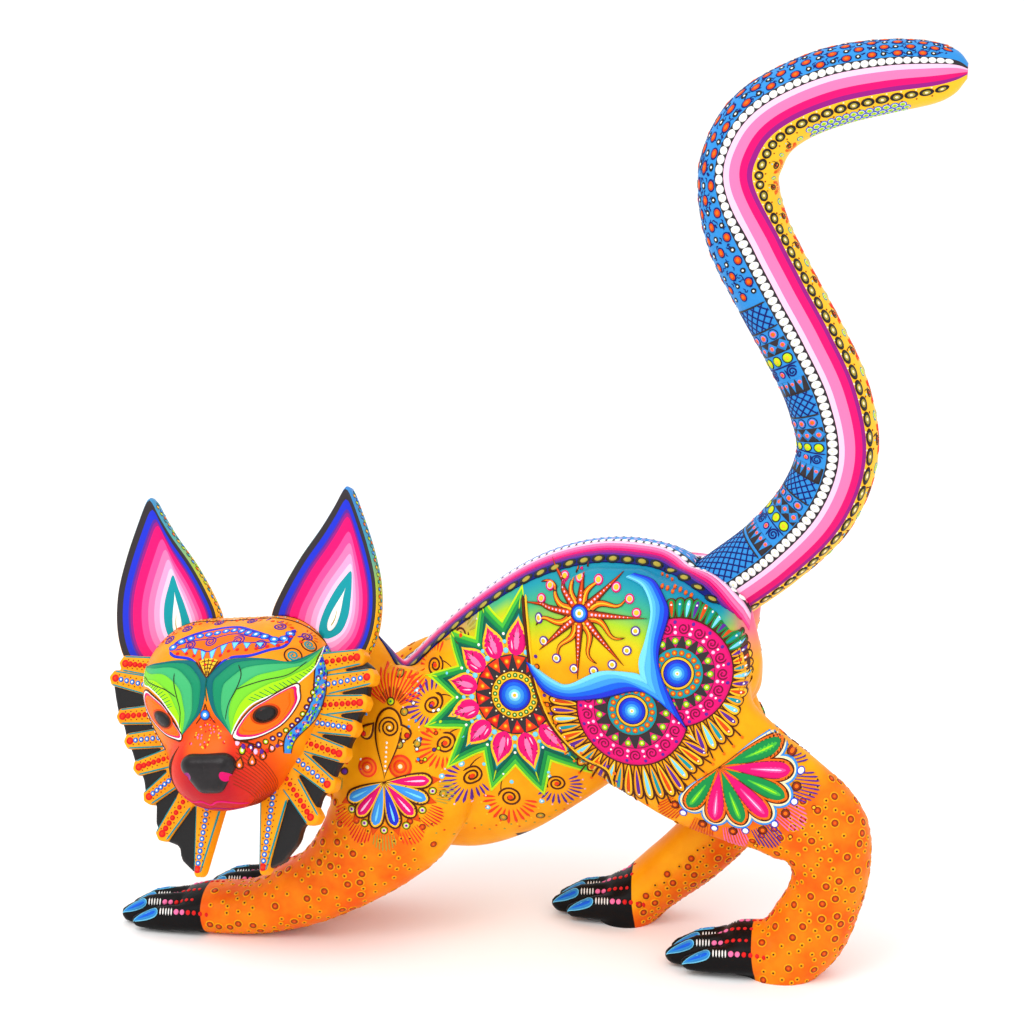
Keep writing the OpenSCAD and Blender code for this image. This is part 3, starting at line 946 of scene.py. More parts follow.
    def dots(self, points, radii, colour, layer, dome=0.2):
        for point, radius in zip(points, np.broadcast_to(radii, len(points))):
            self.disc(point, float(radius), colour, layer, dome)

    def triangle(self, a, b, c, colour, layer):
        count = max(4, math.ceil(np.linalg.norm(np.subtract(c, a)) / CELL) + 1)
        self.between(even([a, c], count), even([b, c], count), colour, layer)

    def shell(self, centre, away, size, fringe, layer, spark=None):
        """A dark spiral with a fan of short strokes on its outer side."""
        for k in range(13):
            angle = away - 84 + 14 * k
            reach = size * (2.9 - 0.6 * abs(k - 6) / 6)
            ends = [polar(centre, size * 1.25, angle), polar(centre, reach, angle)]
            self.stroke(ends, size * 0.29, fringe, layer, taper=(0.4, 1.0))
            if spark and k % 2:
                self.disc(polar(centre, reach + size * 0.14, angle), size * 0.09, spark, layer, 0.1)
        self.spiral(centre, size * 0.12, size, 2.2, away + 200, 0.5 + size * 0.09, "brown", layer + 1)
        self.disc(centre, size * 0.22, "scarlet", layer + 2, 0.1)
        stem = [polar(centre, size, away + 236), polar(centre, size * 1.5, away + 215),
                polar(centre, size * 2.1, away + 200)]
        self.stroke(bend(stem, 12), 0.7, "brown", layer + 1, taper=(1.0, 0.4))
        self.disc(polar(centre, size * 1.55, away + 180), size * 0.18, "cyan", layer + 1, 0.15)

    def fan(self, centre, away, low, high, spread, count, colour, layer, width=0.8):
        """Short strokes side by side, as in the edge of a scallop shell."""
        for angle in np.linspace(away - spread, away + spread, count):
            reach = high - (high - low) * 0.3 * ((angle - away) / spread) ** 2
            self.stroke([polar(centre, low, angle), polar(centre, reach, angle)], width, colour, layer,
                        (0.35, 1))

    def finish(self, body_name, slot):
        """The painted pieces as one object."""
        tops, bottoms = np.concatenate(self.tops), np.concatenate(self.bottoms)
        faces, colours = np.concatenate(self.faces), np.concatenate(self.colours)
        n = len(tops)
        edges = np.concatenate([faces[:, [0, 1]], faces[:, [1, 2]], faces[:, [2, 0]]])
        owner = np.tile(colours, 3)
        code, back = edges[:, 0] * n + edges[:, 1], edges[:, 1] * n + edges[:, 0]
        rim = ~np.isin(code, back)
        a, b = edges[rim, 0], edges[rim, 1]
        walls = np.concatenate([np.stack([b, a, a + n], 1), np.stack([b, a + n, b + n], 1)])
        every = np.concatenate([faces, faces[:, ::-1] + n, walls])
        slots = np.concatenate([colours, colours, np.tile(owner[rim], 2)])
        points = np.concatenate([tops, bottoms])
        used, every = np.unique(every, return_inverse=True)
        every = every.reshape(-1, 3)
        points = points[used]
        order = np.unique(slots)
        data = bpy.data.meshes.new(self.name)
        data.vertices.add(len(points))
        data.vertices.foreach_set("co", points.ravel())
        data.loops.add(len(every) * 3)
        data.loops.foreach_set("vertex_index", every.ravel().astype(np.int32))
        data.polygons.add(len(every))
        data.polygons.foreach_set("loop_start", np.arange(0, len(every) * 3, 3, dtype=np.int32))
        data.polygons.foreach_set("material_index", np.searchsorted(order, slots).astype(np.int32))
        data.update(calc_edges=True)
        data.validate()
        for i in order:
            data.materials.append(PAINT[NAMES[i]])
        smooth = np.zeros(len(data.polygons), bool)
        smooth[:len(faces)] = True
        data.polygons.foreach_set("use_smooth", smooth)
        made = bpy.data.objects.new(self.name, data)
        bpy.context.scene.collection.objects.link(made)
        print("painted", self.name, len(every), "triangles")
        return place(made, body_name, slot)
# ---------------------------------------------------------------- the painting on the flanks

MEDALLION, SUN, OWLS = np.array([5.0, 150.0]), np.array([42.0, 200.0]), np.array([[73.0, 150.0],
                                                                                  [97.0, 172.0]])
PALMETTE, CHEST = np.array([121.0, 122.0]), np.array([-66.0, 100.0])
HAUNCH_EDGE = np.array([[60, 100], [57, 113], [42, 118], [30, 128], [22, 140], [15, 160], [11, 180],
                        [6.4, 203]])
BROW_LOW_IN = [[15, 168], [28, 162], [37, 161], [54, 170], [71, 171], [77, 170]]
BROW_LOW_OUT = [[11, 169], [22, 155], [35, 152], [55, 155], [77, 161], [91, 154], [104, 141]]
BROW_SIDE_IN = [[77, 170], [76, 178], [79, 189], [81, 204], [76, 215], [66, 219.5]]
BROW_SIDE_OUT = [[104, 141], [95, 157], [88, 172], [87, 184], [91, 201], [89, 209], [82, 217], [70, 221]]


# Where the row of ovals runs over the haunch, along and up
OVALS = np.array([[47, 224], [71, 224], [88, 221], [104, 214], [116, 206.5], [124, 197], [132, 180],
                  [136, 162]], float)


def star(centre, tips, tip, valley, start, per_edge=5, growth=(1,)):
    """A star's outline with straight edges, starting at one tip, some of the tips longer than others."""
    corners = []
    for k in range(tips * 2):
        scale = growth[(k // 2) % len(growth)]
        corners.append(polar(centre, (valley if k % 2 else tip) * scale, start + k * 180 / tips))
    rows = []
    for a, b in zip(corners, corners[1:] + corners[:1]):
        rows += [a + (b - a) * j / per_edge for j in range(per_edge)]
    return np.array(rows)


def paint_medallion(brush):
    """The star flower that goes in under the haunch."""
    pitch = 360 / 13
    growth = [1.04, 0.98, 0.94, 0.93, 0.96, 1.0, 1.08, 1.12, 1.12, 1, 1, 1, 1.03]
    outer, inner = star(MEDALLION, 13, 56, 39, 90, 5, growth), star(MEDALLION, 13, 40, 27, 90, 5, growth)
    brush.bands(outer, inner, [0, 0.14, 0.36, 0.62, 0.86, 1],
                ["lime", "leaf", "green", "forest", "teal"], 3, closed=True)
    for k in range(13):
        angle = 90 + pitch * k
        tip, foot = polar(MEDALLION, 41.5 * growth[k] ** 0.7, angle), polar(MEDALLION, 21, angle)
        brush.nested_drop(tip, foot, 13.0, [(1.0, (0, 1), "gold"), (0.84, (0.08, 0.97), "magenta"),
                                            (0.42, (0.2, 0.85), "rose")], 5, wide_at=0.6, power=1.25,
                                            dome=0.15)
        brush.stroke([polar(MEDALLION, 38, angle), polar(MEDALLION, 24, angle)], 0.7, "brown", 9, (0.3, 1))
        brush.stroke([polar(MEDALLION, 30, angle + 6), polar(MEDALLION, 25, angle + 5)], 1.0, "blush", 9,
                     (0.4, 1))
        for side in (-1, 1):
            brush.stroke([polar(MEDALLION, 30, angle), polar(MEDALLION, 33, angle + side * 4.5)], 0.5,
                         "brown", 9)
        gap = angle + pitch / 2
        for r, size in ((24.8, 1.5), (29.5, 1.1)):
            brush.disc(polar(MEDALLION, r, gap), size, "cyan", 8, 0.2)
        brush.disc(polar(MEDALLION, 33.5, gap), 0.8, "white", 8, 0.2)
        brush.stroke([polar(MEDALLION, 46, angle), polar(MEDALLION, 53, angle)], 0.8, "lime", 7, (1, 0.3))
    brush.disc(MEDALLION, 22.5, "charcoal", 7)
    for k in range(17):
        angle = 360 / 17 * k
        base = [polar(MEDALLION, 21.9, angle - 9.5), polar(MEDALLION, 21.9, angle + 9.5)]
        brush.triangle(base[0], base[1], polar(MEDALLION, 14.3, angle), "red" if k % 2 else "scarlet", 8)
        brush.disc(polar(MEDALLION, 18.8, angle), 1.5, "orange", 9)
        brush.disc(polar(MEDALLION, 18.8, angle), 0.8, "gold", 10, 0.2)
        brush.disc(polar(MEDALLION, 14.2, angle + 10.6), 0.5, "cream", 9, 0.15)
    brush.ring(MEDALLION, 13.0, 13.9, "brown", 9)
    brush.disc(MEDALLION, 13.2, "gold", 9)
    for k in range(20):
        brush.beads(polar(MEDALLION, 11.2, k * 18), [(1.35, "brown"), (0.95, "leaf"), (0.45, "cream")], 10)
    for i, (radius, colour) in enumerate([(9.2, "brown"), (8.7, "royal"), (7.4, "blue"), (5.4, "sky"),
                                          (3.4, "cyan"),
                                          (1.9, "white"), (1.0, "gold")]):
        brush.disc(MEDALLION, radius, colour, 11 + i, 0.3 if radius == 1.0 else 0)


def paint_shells(brush):
    fans = [(-29, 178, 5.0, 118, "olive"), (-43, 161, 5.4, 160, "scarlet"), (-41, 143, 5.4, 172, "violet"),
            (-33, 122, 5.8, 196, "scarlet"), (-19, 102, 5.8, 226, "violet"), (1, 88, 6.6, 262, "scarlet"),
            (27, 97, 5.6, 298, "violet")]
    for x, z, size, away, fringe in fans:
        brush.shell([x, z], away, size, fringe, 1, "gold" if fringe == "scarlet" else "blush")
    for x, z in [(-61, 158), (-56, 139), (-58, 121), (-48, 122), (-45, 100), (-33, 94), (-4, 74), (16, 74),
                 (-57, 108)]:
        brush.beads([x, z], [(2.4, "brown"), (1.8, "olive"), (0.8, "amber")], 1)
    for x, z in [(-50, 150), (-47, 124), (-34, 104), (-12, 81), (-2, 103), (18, 85), (23, 102), (-24, 110)]:
        brush.beads([x, z], [(1.5, "cyan"), (0.7, "white")], 1)
    for k in range(26):
        x = -70 + k * 4.1
        z = 76 + 0.0075 * (x + 10) ** 2 - 7 + 3 * (k % 2)
        brush.disc([x, z - 4], 0.6, "olive" if k % 3 else "deep_orange", 1, 0.15)


def paint_sun(brush):
    for k in range(8):
        angle = 90 + 45 * k
        length = [35, 30, 33, 30, 33, 34, 35, 35][k]
        length = min(length, 21.5 / max(math.sin(math.radians(angle)), 0.1))
        for width, colour, layer in ((5.6, "brown", 11), (4.4, "rust", 12), (2.6, "deep_orange", 13)):
            base = [polar(SUN, 4, angle + 90 * s) * 0.5 + polar(SUN, 4, angle) * 0.5 for s in (-1, 1)]
            middle = polar(SUN, 3, angle)
            across = (base[1] - base[0]) / np.linalg.norm(base[1] - base[0]) * width / 2
            tip = polar(SUN, length - (13 - layer) * -1.2, angle)
            brush.triangle(middle - across, middle + across, tip, colour, layer)
        brush.dots([polar(SUN, r, angle) for r in np.arange(7, length - 8, 2.2)],
                   np.linspace(0.7, 0.3, len(np.arange(7, length - 8, 2.2))), "blush", 14)
    for k in range(8):
        angle = 112.5 + 45 * k
        reach = min(28, 20 / max(math.sin(math.radians(angle)), 0.1))
        run = np.linspace(4, reach, 22)
        wave = 9.5 * np.sin((run - 4) / 24 * 2 * math.pi) * (1 - 0.25 * (run - 4) / 24)
        path = [polar(SUN, r, angle + w) for r, w in zip(run, wave)]
        brush.stroke(path, 5.2, "brown", 10, (1.0, 0.12))
        brush.stroke(path[:-1], 3.9, "orange", 11, (1.0, 0.1))
        brush.stroke(path[:-3], 1.2, "gold", 12, (1.0, 0.2))
    for i, (radius, colour) in enumerate([(5.0, "brown"), (4.5, "royal"), (3.6, "sky"), (2.2, "white"),
                                          (1.2, "gold")]):
        brush.disc(SUN, radius, colour, 14 + i, 0.3 if radius == 1.2 else 0)
    for k in range(16):
        angle = math.radians(11.25 + 22.5 * k)
        upper = math.sin(angle) > -0.1
        at = SUN + [3.5 + 28.5 * math.cos(angle), -1 + (19.0 if upper else 29.5) * math.sin(angle)]
        rings = [(2.6, "magenta"), (1.9, "blush"), (1.4, "gold")] if upper else \
            [(2.6, "violet"), (1.9, "white"), (1.2, "gold")]
        if 13 < at[0]:
            brush.beads(at, rings, 11)


def paint_owl(brush, index):
    """One owl eye with its feathers."""
    size = 1.0 if index == 0 else 0.93
    centre, other = OWLS[index], OWLS[1 - index]
    middle, way = (centre + other) / 2, (other - centre) / np.linalg.norm(other - centre)
    over = np.array([[40, 158], [45, 159], [55, 162], [70, 166], [84, 160], [95, 150], [102, 143]], float)
    beside = np.array([[102, 143], [92, 157], [83, 170], [81, 180], [84, 191], [86, 204], [83, 213]], float)

    def snap(flat):
        flat = flat.copy()
        past = np.maximum((flat - middle) @ way, 0)
        flat -= past[:, None] * way
        if index == 0:
            flat[:, 1] = np.minimum(flat[:, 1], np.interp(flat[:, 0], over[:, 0], over[:, 1]))
        else:
            flat[:, 0] = np.maximum(flat[:, 0], np.interp(flat[:, 1], beside[:, 1], beside[:, 0]))
            flat[:, 1] = np.minimum(flat[:, 1], np.interp(flat[:, 0], OVALS[:6, 0], OVALS[:6, 1] - 3.5))
        return flat

    brush.snap = snap
    angles = np.arange(172, 346, 7.3) if index == 0 else np.arange(-84, 112, 7.3)
    fills = ["teal", "deep_orange", "violet", "cyan"]
    for k, angle in enumerate(angles):
        far = 53 if index == 0 and 225 < angle < 310 else 48
        if index == 1:
            far = np.interp(angle, [-84, -45, -30, 20, 50, 112], [48, 45, 38.5, 38, 39, 39])
        foot, tip = polar(centre, 29 * size, angle), polar(centre, far, angle)
        high = math.sin(math.radians(angle)) > 0.35
        brush.nested_drop(foot, tip, 6.0, [
            (1.0, (0, 1), "brown"), (0.74, (0.1, 0.95), "green" if high else ("gold" if k % 2 else "amber")),
            (0.34, (0.2, 0.88), fills[k % 4])], 9, wide_at=0.78, power=0.7)
        brush.disc(polar(centre, far - 3.4, angle), 0.5, "white", 12, 0.15)
        if not high and (index == 0 or angle < -45):
            brush.stroke([polar(centre, far - 5, angle + 3.65), polar(centre, far + 3.5, angle + 3.65)],
                         0.9, "brown",
                         8, (0.6, 1))
            brush.disc(polar(centre, far + 4, angle + 3.65), 0.75, "orange", 9, 0.15)
    brush.disc(centre, 31.6 * size, "brown", 12)
    brush.disc(centre, 30.8 * size, "magenta", 13)
    for k in range(17):
        angle = 360 / 17 * k
        brush.spiral(polar(centre, 25.6 * size, angle), 0.3, 3.4 * size, 1.9, angle, 0.8, "wine", 14)
        for r, colour in ((28.9, "violet"), (23.2, "blush")):
            brush.disc(polar(centre, r * size, angle + 10.6), 0.95, colour, 14, 0.15)
        brush.disc(polar(centre, 26.2 * size, angle + 10.6), 0.6, "white", 14, 0.15)
    brush.disc(centre, 21.4 * size, "charcoal", 14)
    for k in range(15):
        angle = 24 * k
        corners = [polar(centre, 21.2 * size, angle + turn) for turn in (-10, 10)]
        brush.triangle(corners[0], corners[1], polar(centre, 14.8 * size, angle), "magenta", 15)
        brush.beads(polar(centre, 18.6 * size, angle), [(1.9, "green"), (1.45, "lime"), (0.5, "cream")], 16)
    brush.disc(centre, 14.2, "brown", 15)
    brush.disc(centre, 13.6, "teal", 16)
    for k in range(18):
        brush.beads(polar(centre, 11.1, 20 * k), [(1.55, "rust"), (1.25, "orange"), (0.5, "gold")], 17)
    for i, (radius, colour) in enumerate([(9.2, "brown"), (8.7, "gold"), (7.6, "navy"), (7.1, "royal"),
                                          (5.6, "blue"),
                                          (3.9, "sky"), (2.5, "cyan"), (1.2, "white"), (0.6, "gold")]):
        brush.disc(centre, radius, colour, 18 + i, 0.2 if radius == 0.6 else 0)
    brush.snap = None


def paint_brow(brush):
    """The blue sweep between the sun and the owl eyes."""
    shares = [0, 0.16, 0.34, 0.54, 0.76, 0.95, 1]
    colours = ["cyan", "azure", "sky", "blue", "royal", "navy"]
    for inner, outer in ((BROW_LOW_IN, BROW_LOW_OUT), (BROW_SIDE_IN, BROW_SIDE_OUT)):
        brush.bands(bend(inner, 56), bend(outer, 56), shares, colours, 28)


def paint_palmette(brush):
    """The fan of drops on the thigh."""
    drops = [(22, 34, "green"), (-2, 38, "magenta"), (-23, 39, "green"), (-45, 38, "magenta"),
             (-68, 34, "green"),
             (-94, 32, "magenta"), (-124, 30, "green")]
    for angle, length, colour in drops:
        tip = polar(PALMETTE, length, angle)
        brush.nested_drop(PALMETTE, tip, 15.5, [(1.0, (0.1, 1.1), "sky"), (0.9, (0.1, 1.07), "cream")], 9,
                          wide_at=0.78, power=1.0)
        brush.nested_drop(PALMETTE, tip, 12.4, [
            (1.0, (0, 1.05), "brown"), (0.9, (0.02, 1.03), "orange"), (0.76, (0.06, 1.0), "brown"),
            (0.7, (0.08, 0.99), colour), (0.4, (0.3, 0.94), "leaf" if colour == "green" else "pink"),
            (0.16, (0.45, 0.88), "acid" if colour == "green" else "blush")], 11, wide_at=0.76, power=1.15,
            dome=0.2)
        brush.beads(polar(PALMETTE, length + 5.2, angle), [(2.1, "royal"), (1.6, "white")], 11)
    fans = ["violet", "violet", "rose", "violet", "rose", "deep_orange", "deep_orange"]
    for (angle, length, _), colour in zip(drops, fans):
        brush.fan(PALMETTE, angle - 10, length + 2, length + 17, 8.5, 9, colour, 7)
        brush.beads(polar(PALMETTE, length + 4.5, angle - 10.5),
                    [(2.5, "brown"), (2.0, "rust"), (1.1, "orange")], 9)
        brush.beads(polar(PALMETTE, length + 16, angle + 1.5), [(1.3, "rust"), (0.8, "gold")], 7)
    brush.fan(PALMETTE, 31, 38, 50, 8, 8, "violet", 7)


def paint_chest(brush):
    """The flower on the shoulder with its tall drop and the fans round it."""
    top = CHEST + [2, 41]
    brush.fan(CHEST + [3, 40], 90, 5, 23, 62, 17, "scarlet", 3, 1.3)
    brush.fan(CHEST + [3, 40], 90, 5, 12, 50, 9, "rust", 4, 1.0)
    drops = [(4, 26, "magenta"), (-21, 26, "sky"), (-47, 25, "magenta"), (-74, 26, "royal"),
             (-101, 26, "sky"),
             (-126, 25, "magenta"), (-149, 24, "sky")]
    for k, (angle, length, colour) in enumerate(drops):
        tip = polar(CHEST, length, angle)
        brush.nested_drop(CHEST, tip, 9.6, [
            (1.0, (0, 1.05), "brown"), (0.78, (0.04, 1.02), "gold"), (0.62, (0.1, 0.98), colour),
            (0.24, (0.4, 0.9), "blush" if colour == "magenta" else "cyan")], 7, wide_at=0.78, power=1.05,
            dome=0.12)
        if k:
            gap = polar(CHEST, length + 1.5, angle + 12)
            brush.beads(gap, [(2.3, "brown"), (1.8, "lime"), (1.2, "blush"), (0.7, "violet")], 5)
            brush.fan(CHEST, angle + 12, length + 4, length + 14, 10, 8, ("scarlet", "olive", "red")[k % 3],
                      3, 0.9)
        brush.triangle(polar(CHEST, length + 1, angle - 5), polar(CHEST, length + 1, angle + 5),
                       polar(CHEST, length + 5.5, angle), "deep_orange", 4)
    brush.fan(CHEST + [-25, 2], 195, 3, 13, 70, 9, "olive", 3, 0.9)
    brush.beads(CHEST + [-24, 3], [(2.3, "brown"), (1.6, "violet")], 5)
    brush.nested_drop(CHEST + [0, 1], top, 16.0, [(1.0, (0, 1), "brown"), (0.86, (0.03, 0.97), "amber")], 5,
                      wide_at=0.72, power=1.4)
    brush.spiral(top - [0, 11], 0.4, 6.2, 2.6, 0, 1.0, "brown", 8)
    brush.beads(top - [0, 11], [(1.3, "gold"), (0.8, "white")], 9)
    brush.dots([CHEST + [0.2 + 0.03 * z, z] for z in np.arange(6, 23, 2.6)], 0.7, "white", 8)
    brush.beads(top + [0, 3], [(2.3, "brown"), (1.7, "lime"), (0.7, "green")], 8)
    for x, z, r in ((9, 9, 6.6), (-10, 7, 5.6)):
        for k, colour in enumerate(("scarlet", "orange", "scarlet", "orange", "cream")):
            brush.disc(CHEST + [x, z], r * (1 - 0.2 * k), colour, 4 + k, 0.15 if k == 4 else 0)
    for x, z in ((13, 24), (-14, 23)):
        brush.nested_drop(CHEST + [x * 0.5, z + 9], CHEST + [x, z], 8.4,
                          [(1.0, (0, 1), "brown"), (0.7, (0.15, 0.93), "amber")],
                          4, wide_at=0.68)
        brush.beads(CHEST + [x * 0.94, z + 2.2], [(1.7, "rust"), (1.2, "red")], 7)
    rng = random.Random(21)
    for k in range(46):
        at = CHEST + [rng.uniform(-24, 30), rng.uniform(4, 44)]
        if abs(at[0] - CHEST[0]) > 9:
            colour = ("deep_orange", "white", "sky", "violet", "lime")[k % 5]
            brush.beads(at, [(1.25, "brown"), (0.85, colour)] if k % 2 else [(0.8, colour)], 1)


def skin_of(made):
    """Middle, normal and area of each face of an object."""
    n = len(made.data.polygons)
    middle, normal, area = np.zeros(n * 3), np.zeros(n * 3), np.zeros(n)
    made.data.polygons.foreach_get("center", middle)
    made.data.polygons.foreach_get("normal", normal)
    made.data.polygons.foreach_get("area", area)
    return middle.reshape(-1, 3), normal.reshape(-1, 3), area


def scatter(name, skin, mask, count, seed, big=None, small=None):
    """Rings and small spots strewn over the part of a skin that a mask picks, two small ones to each ring."""
    middle, normal, area = skin
    chosen = np.flatnonzero(mask(*middle.T))
    rng = np.random.RandomState(seed)
    order = rng.choice(chosen, size=min(count * 14, len(chosen)), replace=False,
                       p=area[chosen] / area[chosen].sum())
    big = big or [(2.7, "amber"), (2.0, "rust"), (1.25, "deep_orange"), (0.5, "orange")]
    small = small or [(1.5, "amber"), (0.6, "brown")]
    spots, gaps = np.zeros((0, 3)), np.zeros(0)
    brush = Painter(name)
    for i in order:
        large = len(spots) % 3 == 0
        gap = 2.6 if large else 1.8
        if len(spots) >= count:
            break
        if len(spots) and (np.linalg.norm(spots - middle[i], axis=1) < gaps + gap).any():
            continue
        spots, gaps = np.vstack([spots, middle[i]]), np.append(gaps, gap)
        brush.chart = local_chart(middle[i], normal[i])
        brush.beads(np.zeros(2), big if large else small, 1, dome=0.15)
    return brush


def leg_mask(number):
    """The orange part of one leg: fore left, fore right, hind left, hind right."""
    def mask(x, y, z):
        lean = x + 0.12 * z
        near = y < -15
        if number == 0:
            return near & (x < -38) & (z < 86) & (lean > -169)
        if number == 1:
            return ~near & (x < -40) & (z < 82) & (lean > -133)
        if number == 2:
            return near & (x > 60) & (z - 0.55 * x < 22) & (z > 1) & (lean > 146)
        return ~near & (x > 40) & (z < np.minimum(x - 50, 100)) & (lean > 70)
    return lambda x, y, z: mask(x, y, z) & (z > 1.5)


def neck_mask(x, y, z):
    return (x < -70) & (z > 84) & (y > -30) & (z < 156)


def paint_flank(tree, side):
    """Everything on one side: 1 is the animal's left, -1 its right."""
    seen = flat_chart(tree, [0, 0, 0], [1, 0, 0], [0, 0, 1], [0, -side, 0])

    def chart(uv):
        points, normals, good = seen(uv)
        return points, normals, good & ((points[:, 2] < 140) | (-side * points[:, 1] > 5))

    name = "left" if side > 0 else "right"
    brush, haunch = Painter("paint_flank_" + name, chart), Painter("paint_haunch_" + name, chart)
    paint_shells(brush)
    edge = HAUNCH_EDGE[np.argsort(HAUNCH_EDGE[:, 1])]

    def behind_haunch(flat):
        flat = flat.copy()
        flat[:, 0] = np.minimum(flat[:, 0], np.interp(flat[:, 1], edge[:, 1], edge[:, 0]))
        return flat

    brush.snap = behind_haunch
    paint_medallion(brush)
    brush.snap = None
    paint_owl(haunch, 0)
    paint_owl(haunch, 1)
    paint_sun(haunch)
    paint_brow(haunch)
    for row, last in ((3.6, 102), (5.8, 93)):
        for x in np.arange(80 + row, last, 3.0):
            at = [x, np.interp(x, OVALS[:, 0], OVALS[:, 1]) - row]
            haunch.beads(at, [(0.9, "deep_orange"), (0.6, "orange")], 15)
    line = bend(HAUNCH_EDGE[::-1], 80)
    haunch.stroke(line, 1.6, "brown", 19)
    haunch.stroke(line + [1.7, 0.4], 1.0, "gold", 19)
    for k, at in enumerate(even(line[20:] + [4.4, 1.0], 18)):
        brush.beads(at, [(1.5, "brown"), (1.1, "orange")] if k % 2 else [(1.0, "violet")], 9)
    paint_palmette(brush)
    paint_chest(brush)
    return [brush, haunch]
def back_chart(whole, tree):
    """Millimetres along the back and round it from its ridge, on the body before its seat is cut."""
    xs = np.arange(-100, 142, 4.0)
    angles = np.linspace(-120, 120, 121)

    def hits(x, degrees, where):
        a = np.radians(degrees)
        ways = np.stack([np.zeros_like(a), -np.sin(a), np.cos(a)], 1)
        axis = np.array(TORSO, float)
        starts = np.stack([x, np.zeros_like(x), np.interp(x, axis[:, 0], axis[:, 2])], 1) + ways * 150
        return cast_rays(where, starts, -ways, None, 0.15)

    table = []
    for x in xs:
        points, _, _ = hits(np.full(len(angles), x), angles, whole)
        run = np.concatenate([[0], np.cumsum(np.linalg.norm(np.diff(points, axis=0), axis=1))])
        table.append(run - np.interp(0, angles, run))
    table = np.array(table)

    def where(uv):
        row = np.clip((uv[:, 0] - xs[0]) / 4.0, 0, len(xs) - 1.001)
        i = row.astype(int)
        low = np.array([np.interp(v, table[k], angles) for v, k in zip(uv[:, 1], i)])
        high = np.array([np.interp(v, table[k + 1], angles) for v, k in zip(uv[:, 1], i)])
        degrees = low + (high - low) * (row - i)
        points, normals, good = hits(uv[:, 0], degrees, whole)
        cut_points, _, _ = hits(uv[:, 0], degrees, tree)
        return points, normals, good & (np.linalg.norm(points - cut_points, axis=1) < 0.4)
    return where


def paint_back(chart, side):
    """The bands that run along the ridge of the back on one side."""
    brush = Painter("paint_back_" + ("left" if side > 0 else "right"), chart)
    x = np.linspace(-84, 132, 110)
    wide = np.zeros(len(x))
    depth = np.linspace(0, 70, 141)
    for i in np.flatnonzero(x > 60):
        points, _, _ = chart(np.stack([np.full(141, x[i]), side * depth], 1))
        over = np.flatnonzero(points[:, 2] >= np.interp(x[i], OVALS[:, 0], OVALS[:, 1]))
        wide[i] = max((depth[over[-1]] if len(over) else 0) - 20.1, 0)
    wide = np.convolve(np.pad(wide, 4, mode="edge"), np.ones(9) / 9, mode="valid")


    def out_at(v, at):
        more = np.interp(at, x, wide)
        return v * (1 + 0.25 * more / 20.1) + 0.75 * more * np.minimum(v / 4.0, 1)

    def line(v, used):
        return np.stack([x[used], side * out_at(np.minimum(v, ends), x)[used]], 1)

    ends = np.interp(x, [108, 130], [22.6, 12.0])

    stripes = [(0, 2.6, "tail_blue"), (2.6, 5.4, "charcoal"), (5.4, 8.0, "blush"), (8.0, 10.6, "rose"),
               (10.6, 12.4, "pink"), (12.4, 14.4, "magenta"), (14.4, 16.2, "plum"), (16.2, 17.6, "violet"),
               (17.6, 22.6, "navy")]
    for low, high, colour in stripes:
        used = ends > low + 0.4
        brush.between(line(low, used), line(high, used), colour, 10)
    for k in range(51):
        at = -83 + k * 4.2
        brush.disc([at, side * out_at(4.0, at)], 1.75, "white", 11, 0.4)
        brush.stroke([[at, side * out_at(1.0, at)], [at + 2.4, side * out_at(1.6, at)]], 0.8, "blush", 11)
    for k in range(23):
        at = -66 + k * 8.1
        brush.beads([at, side * min(out_at(20.1, at), out_at(20.1, 112))], [(2.8, "black"), (1.6, "olive")],
                    11,
                    stretch=1.35)
    return brush
# ---------------------------------------------------------------- the painted face

CAP_TOP = [[-25, 24], [-23, 30], [-18, 35], [-12, 39.5], [-6, 42], [1.6, 44], [10, 43], [19, 37], [26, 32.5],
           [33, 30], [39, 40]]
CAP_LOW = [[-25, 24], [-21, 21], [-12.5, 20], [-5.6, 15], [-1, 10], [3.8, 15], [10.6, 20], [21, 20], [29, 23],
           [36, 27], [39, 40]]
BROW_OUTER = {1: [[13, -21], [8, -15], [3, -9], [0, -0.5], [-1, 9], [2, 13], [6, 16.5], [10, 19], [18, 19],
                  [29, 18], [39, 18], [49, 26], [56, 36]],
              -1: [[-18, -21], [-11, -15], [-5, -8.5], [-2, 0], [-1, 9], [-6, 16], [-11, 19], [-18, 19],
                   [-26, 18],
                   [-33, 18], [-43, 19], [-50, 24]]}
BROW_INNER = {1: [[13, -21], [16, -15], [20, -9], [25, -4], [33, 0.4], [41, 5], [46, 10], [52, 19], [56, 36]],
              -1: [[-18, -21], [-20, -13], [-24, -6], [-28, 0.6], [-35, 6], [-43, 10], [-50, 24]]}
BROW_LINES = [[[16, 15.5], [18, 10], [16, 3], [12, -4.5], [10, -13]], [[16, 3], [28, 7], [39, 11], [47, 20]],
              [[-19, 12], [-19, 7], [-18, 0], [-17, -8], [-19, -17]],
              [[-18.5, 0], [-24, 4], [-34, 8], [-42, 13]]]
EYES = [([[13.8, -22], [18, -14], [24, -6.5], [30.5, -1.7], [36.7, 3], [44, 7.5], [45.5, 4], [46.5, -1],
          [43, -10],
          [37.6, -16.6], [28, -22], [20, -23.6]], [30.6, -9.4], 24),
        ([[-17, -22.7], [-22, -13], [-26, -4], [-32, 1.6], [-39, 5.5], [-44, 3], [-43.5, -3], [-42, -9],
          [-36, -16],
          [-28, -21]], [-29.6, -10.7], -24)]


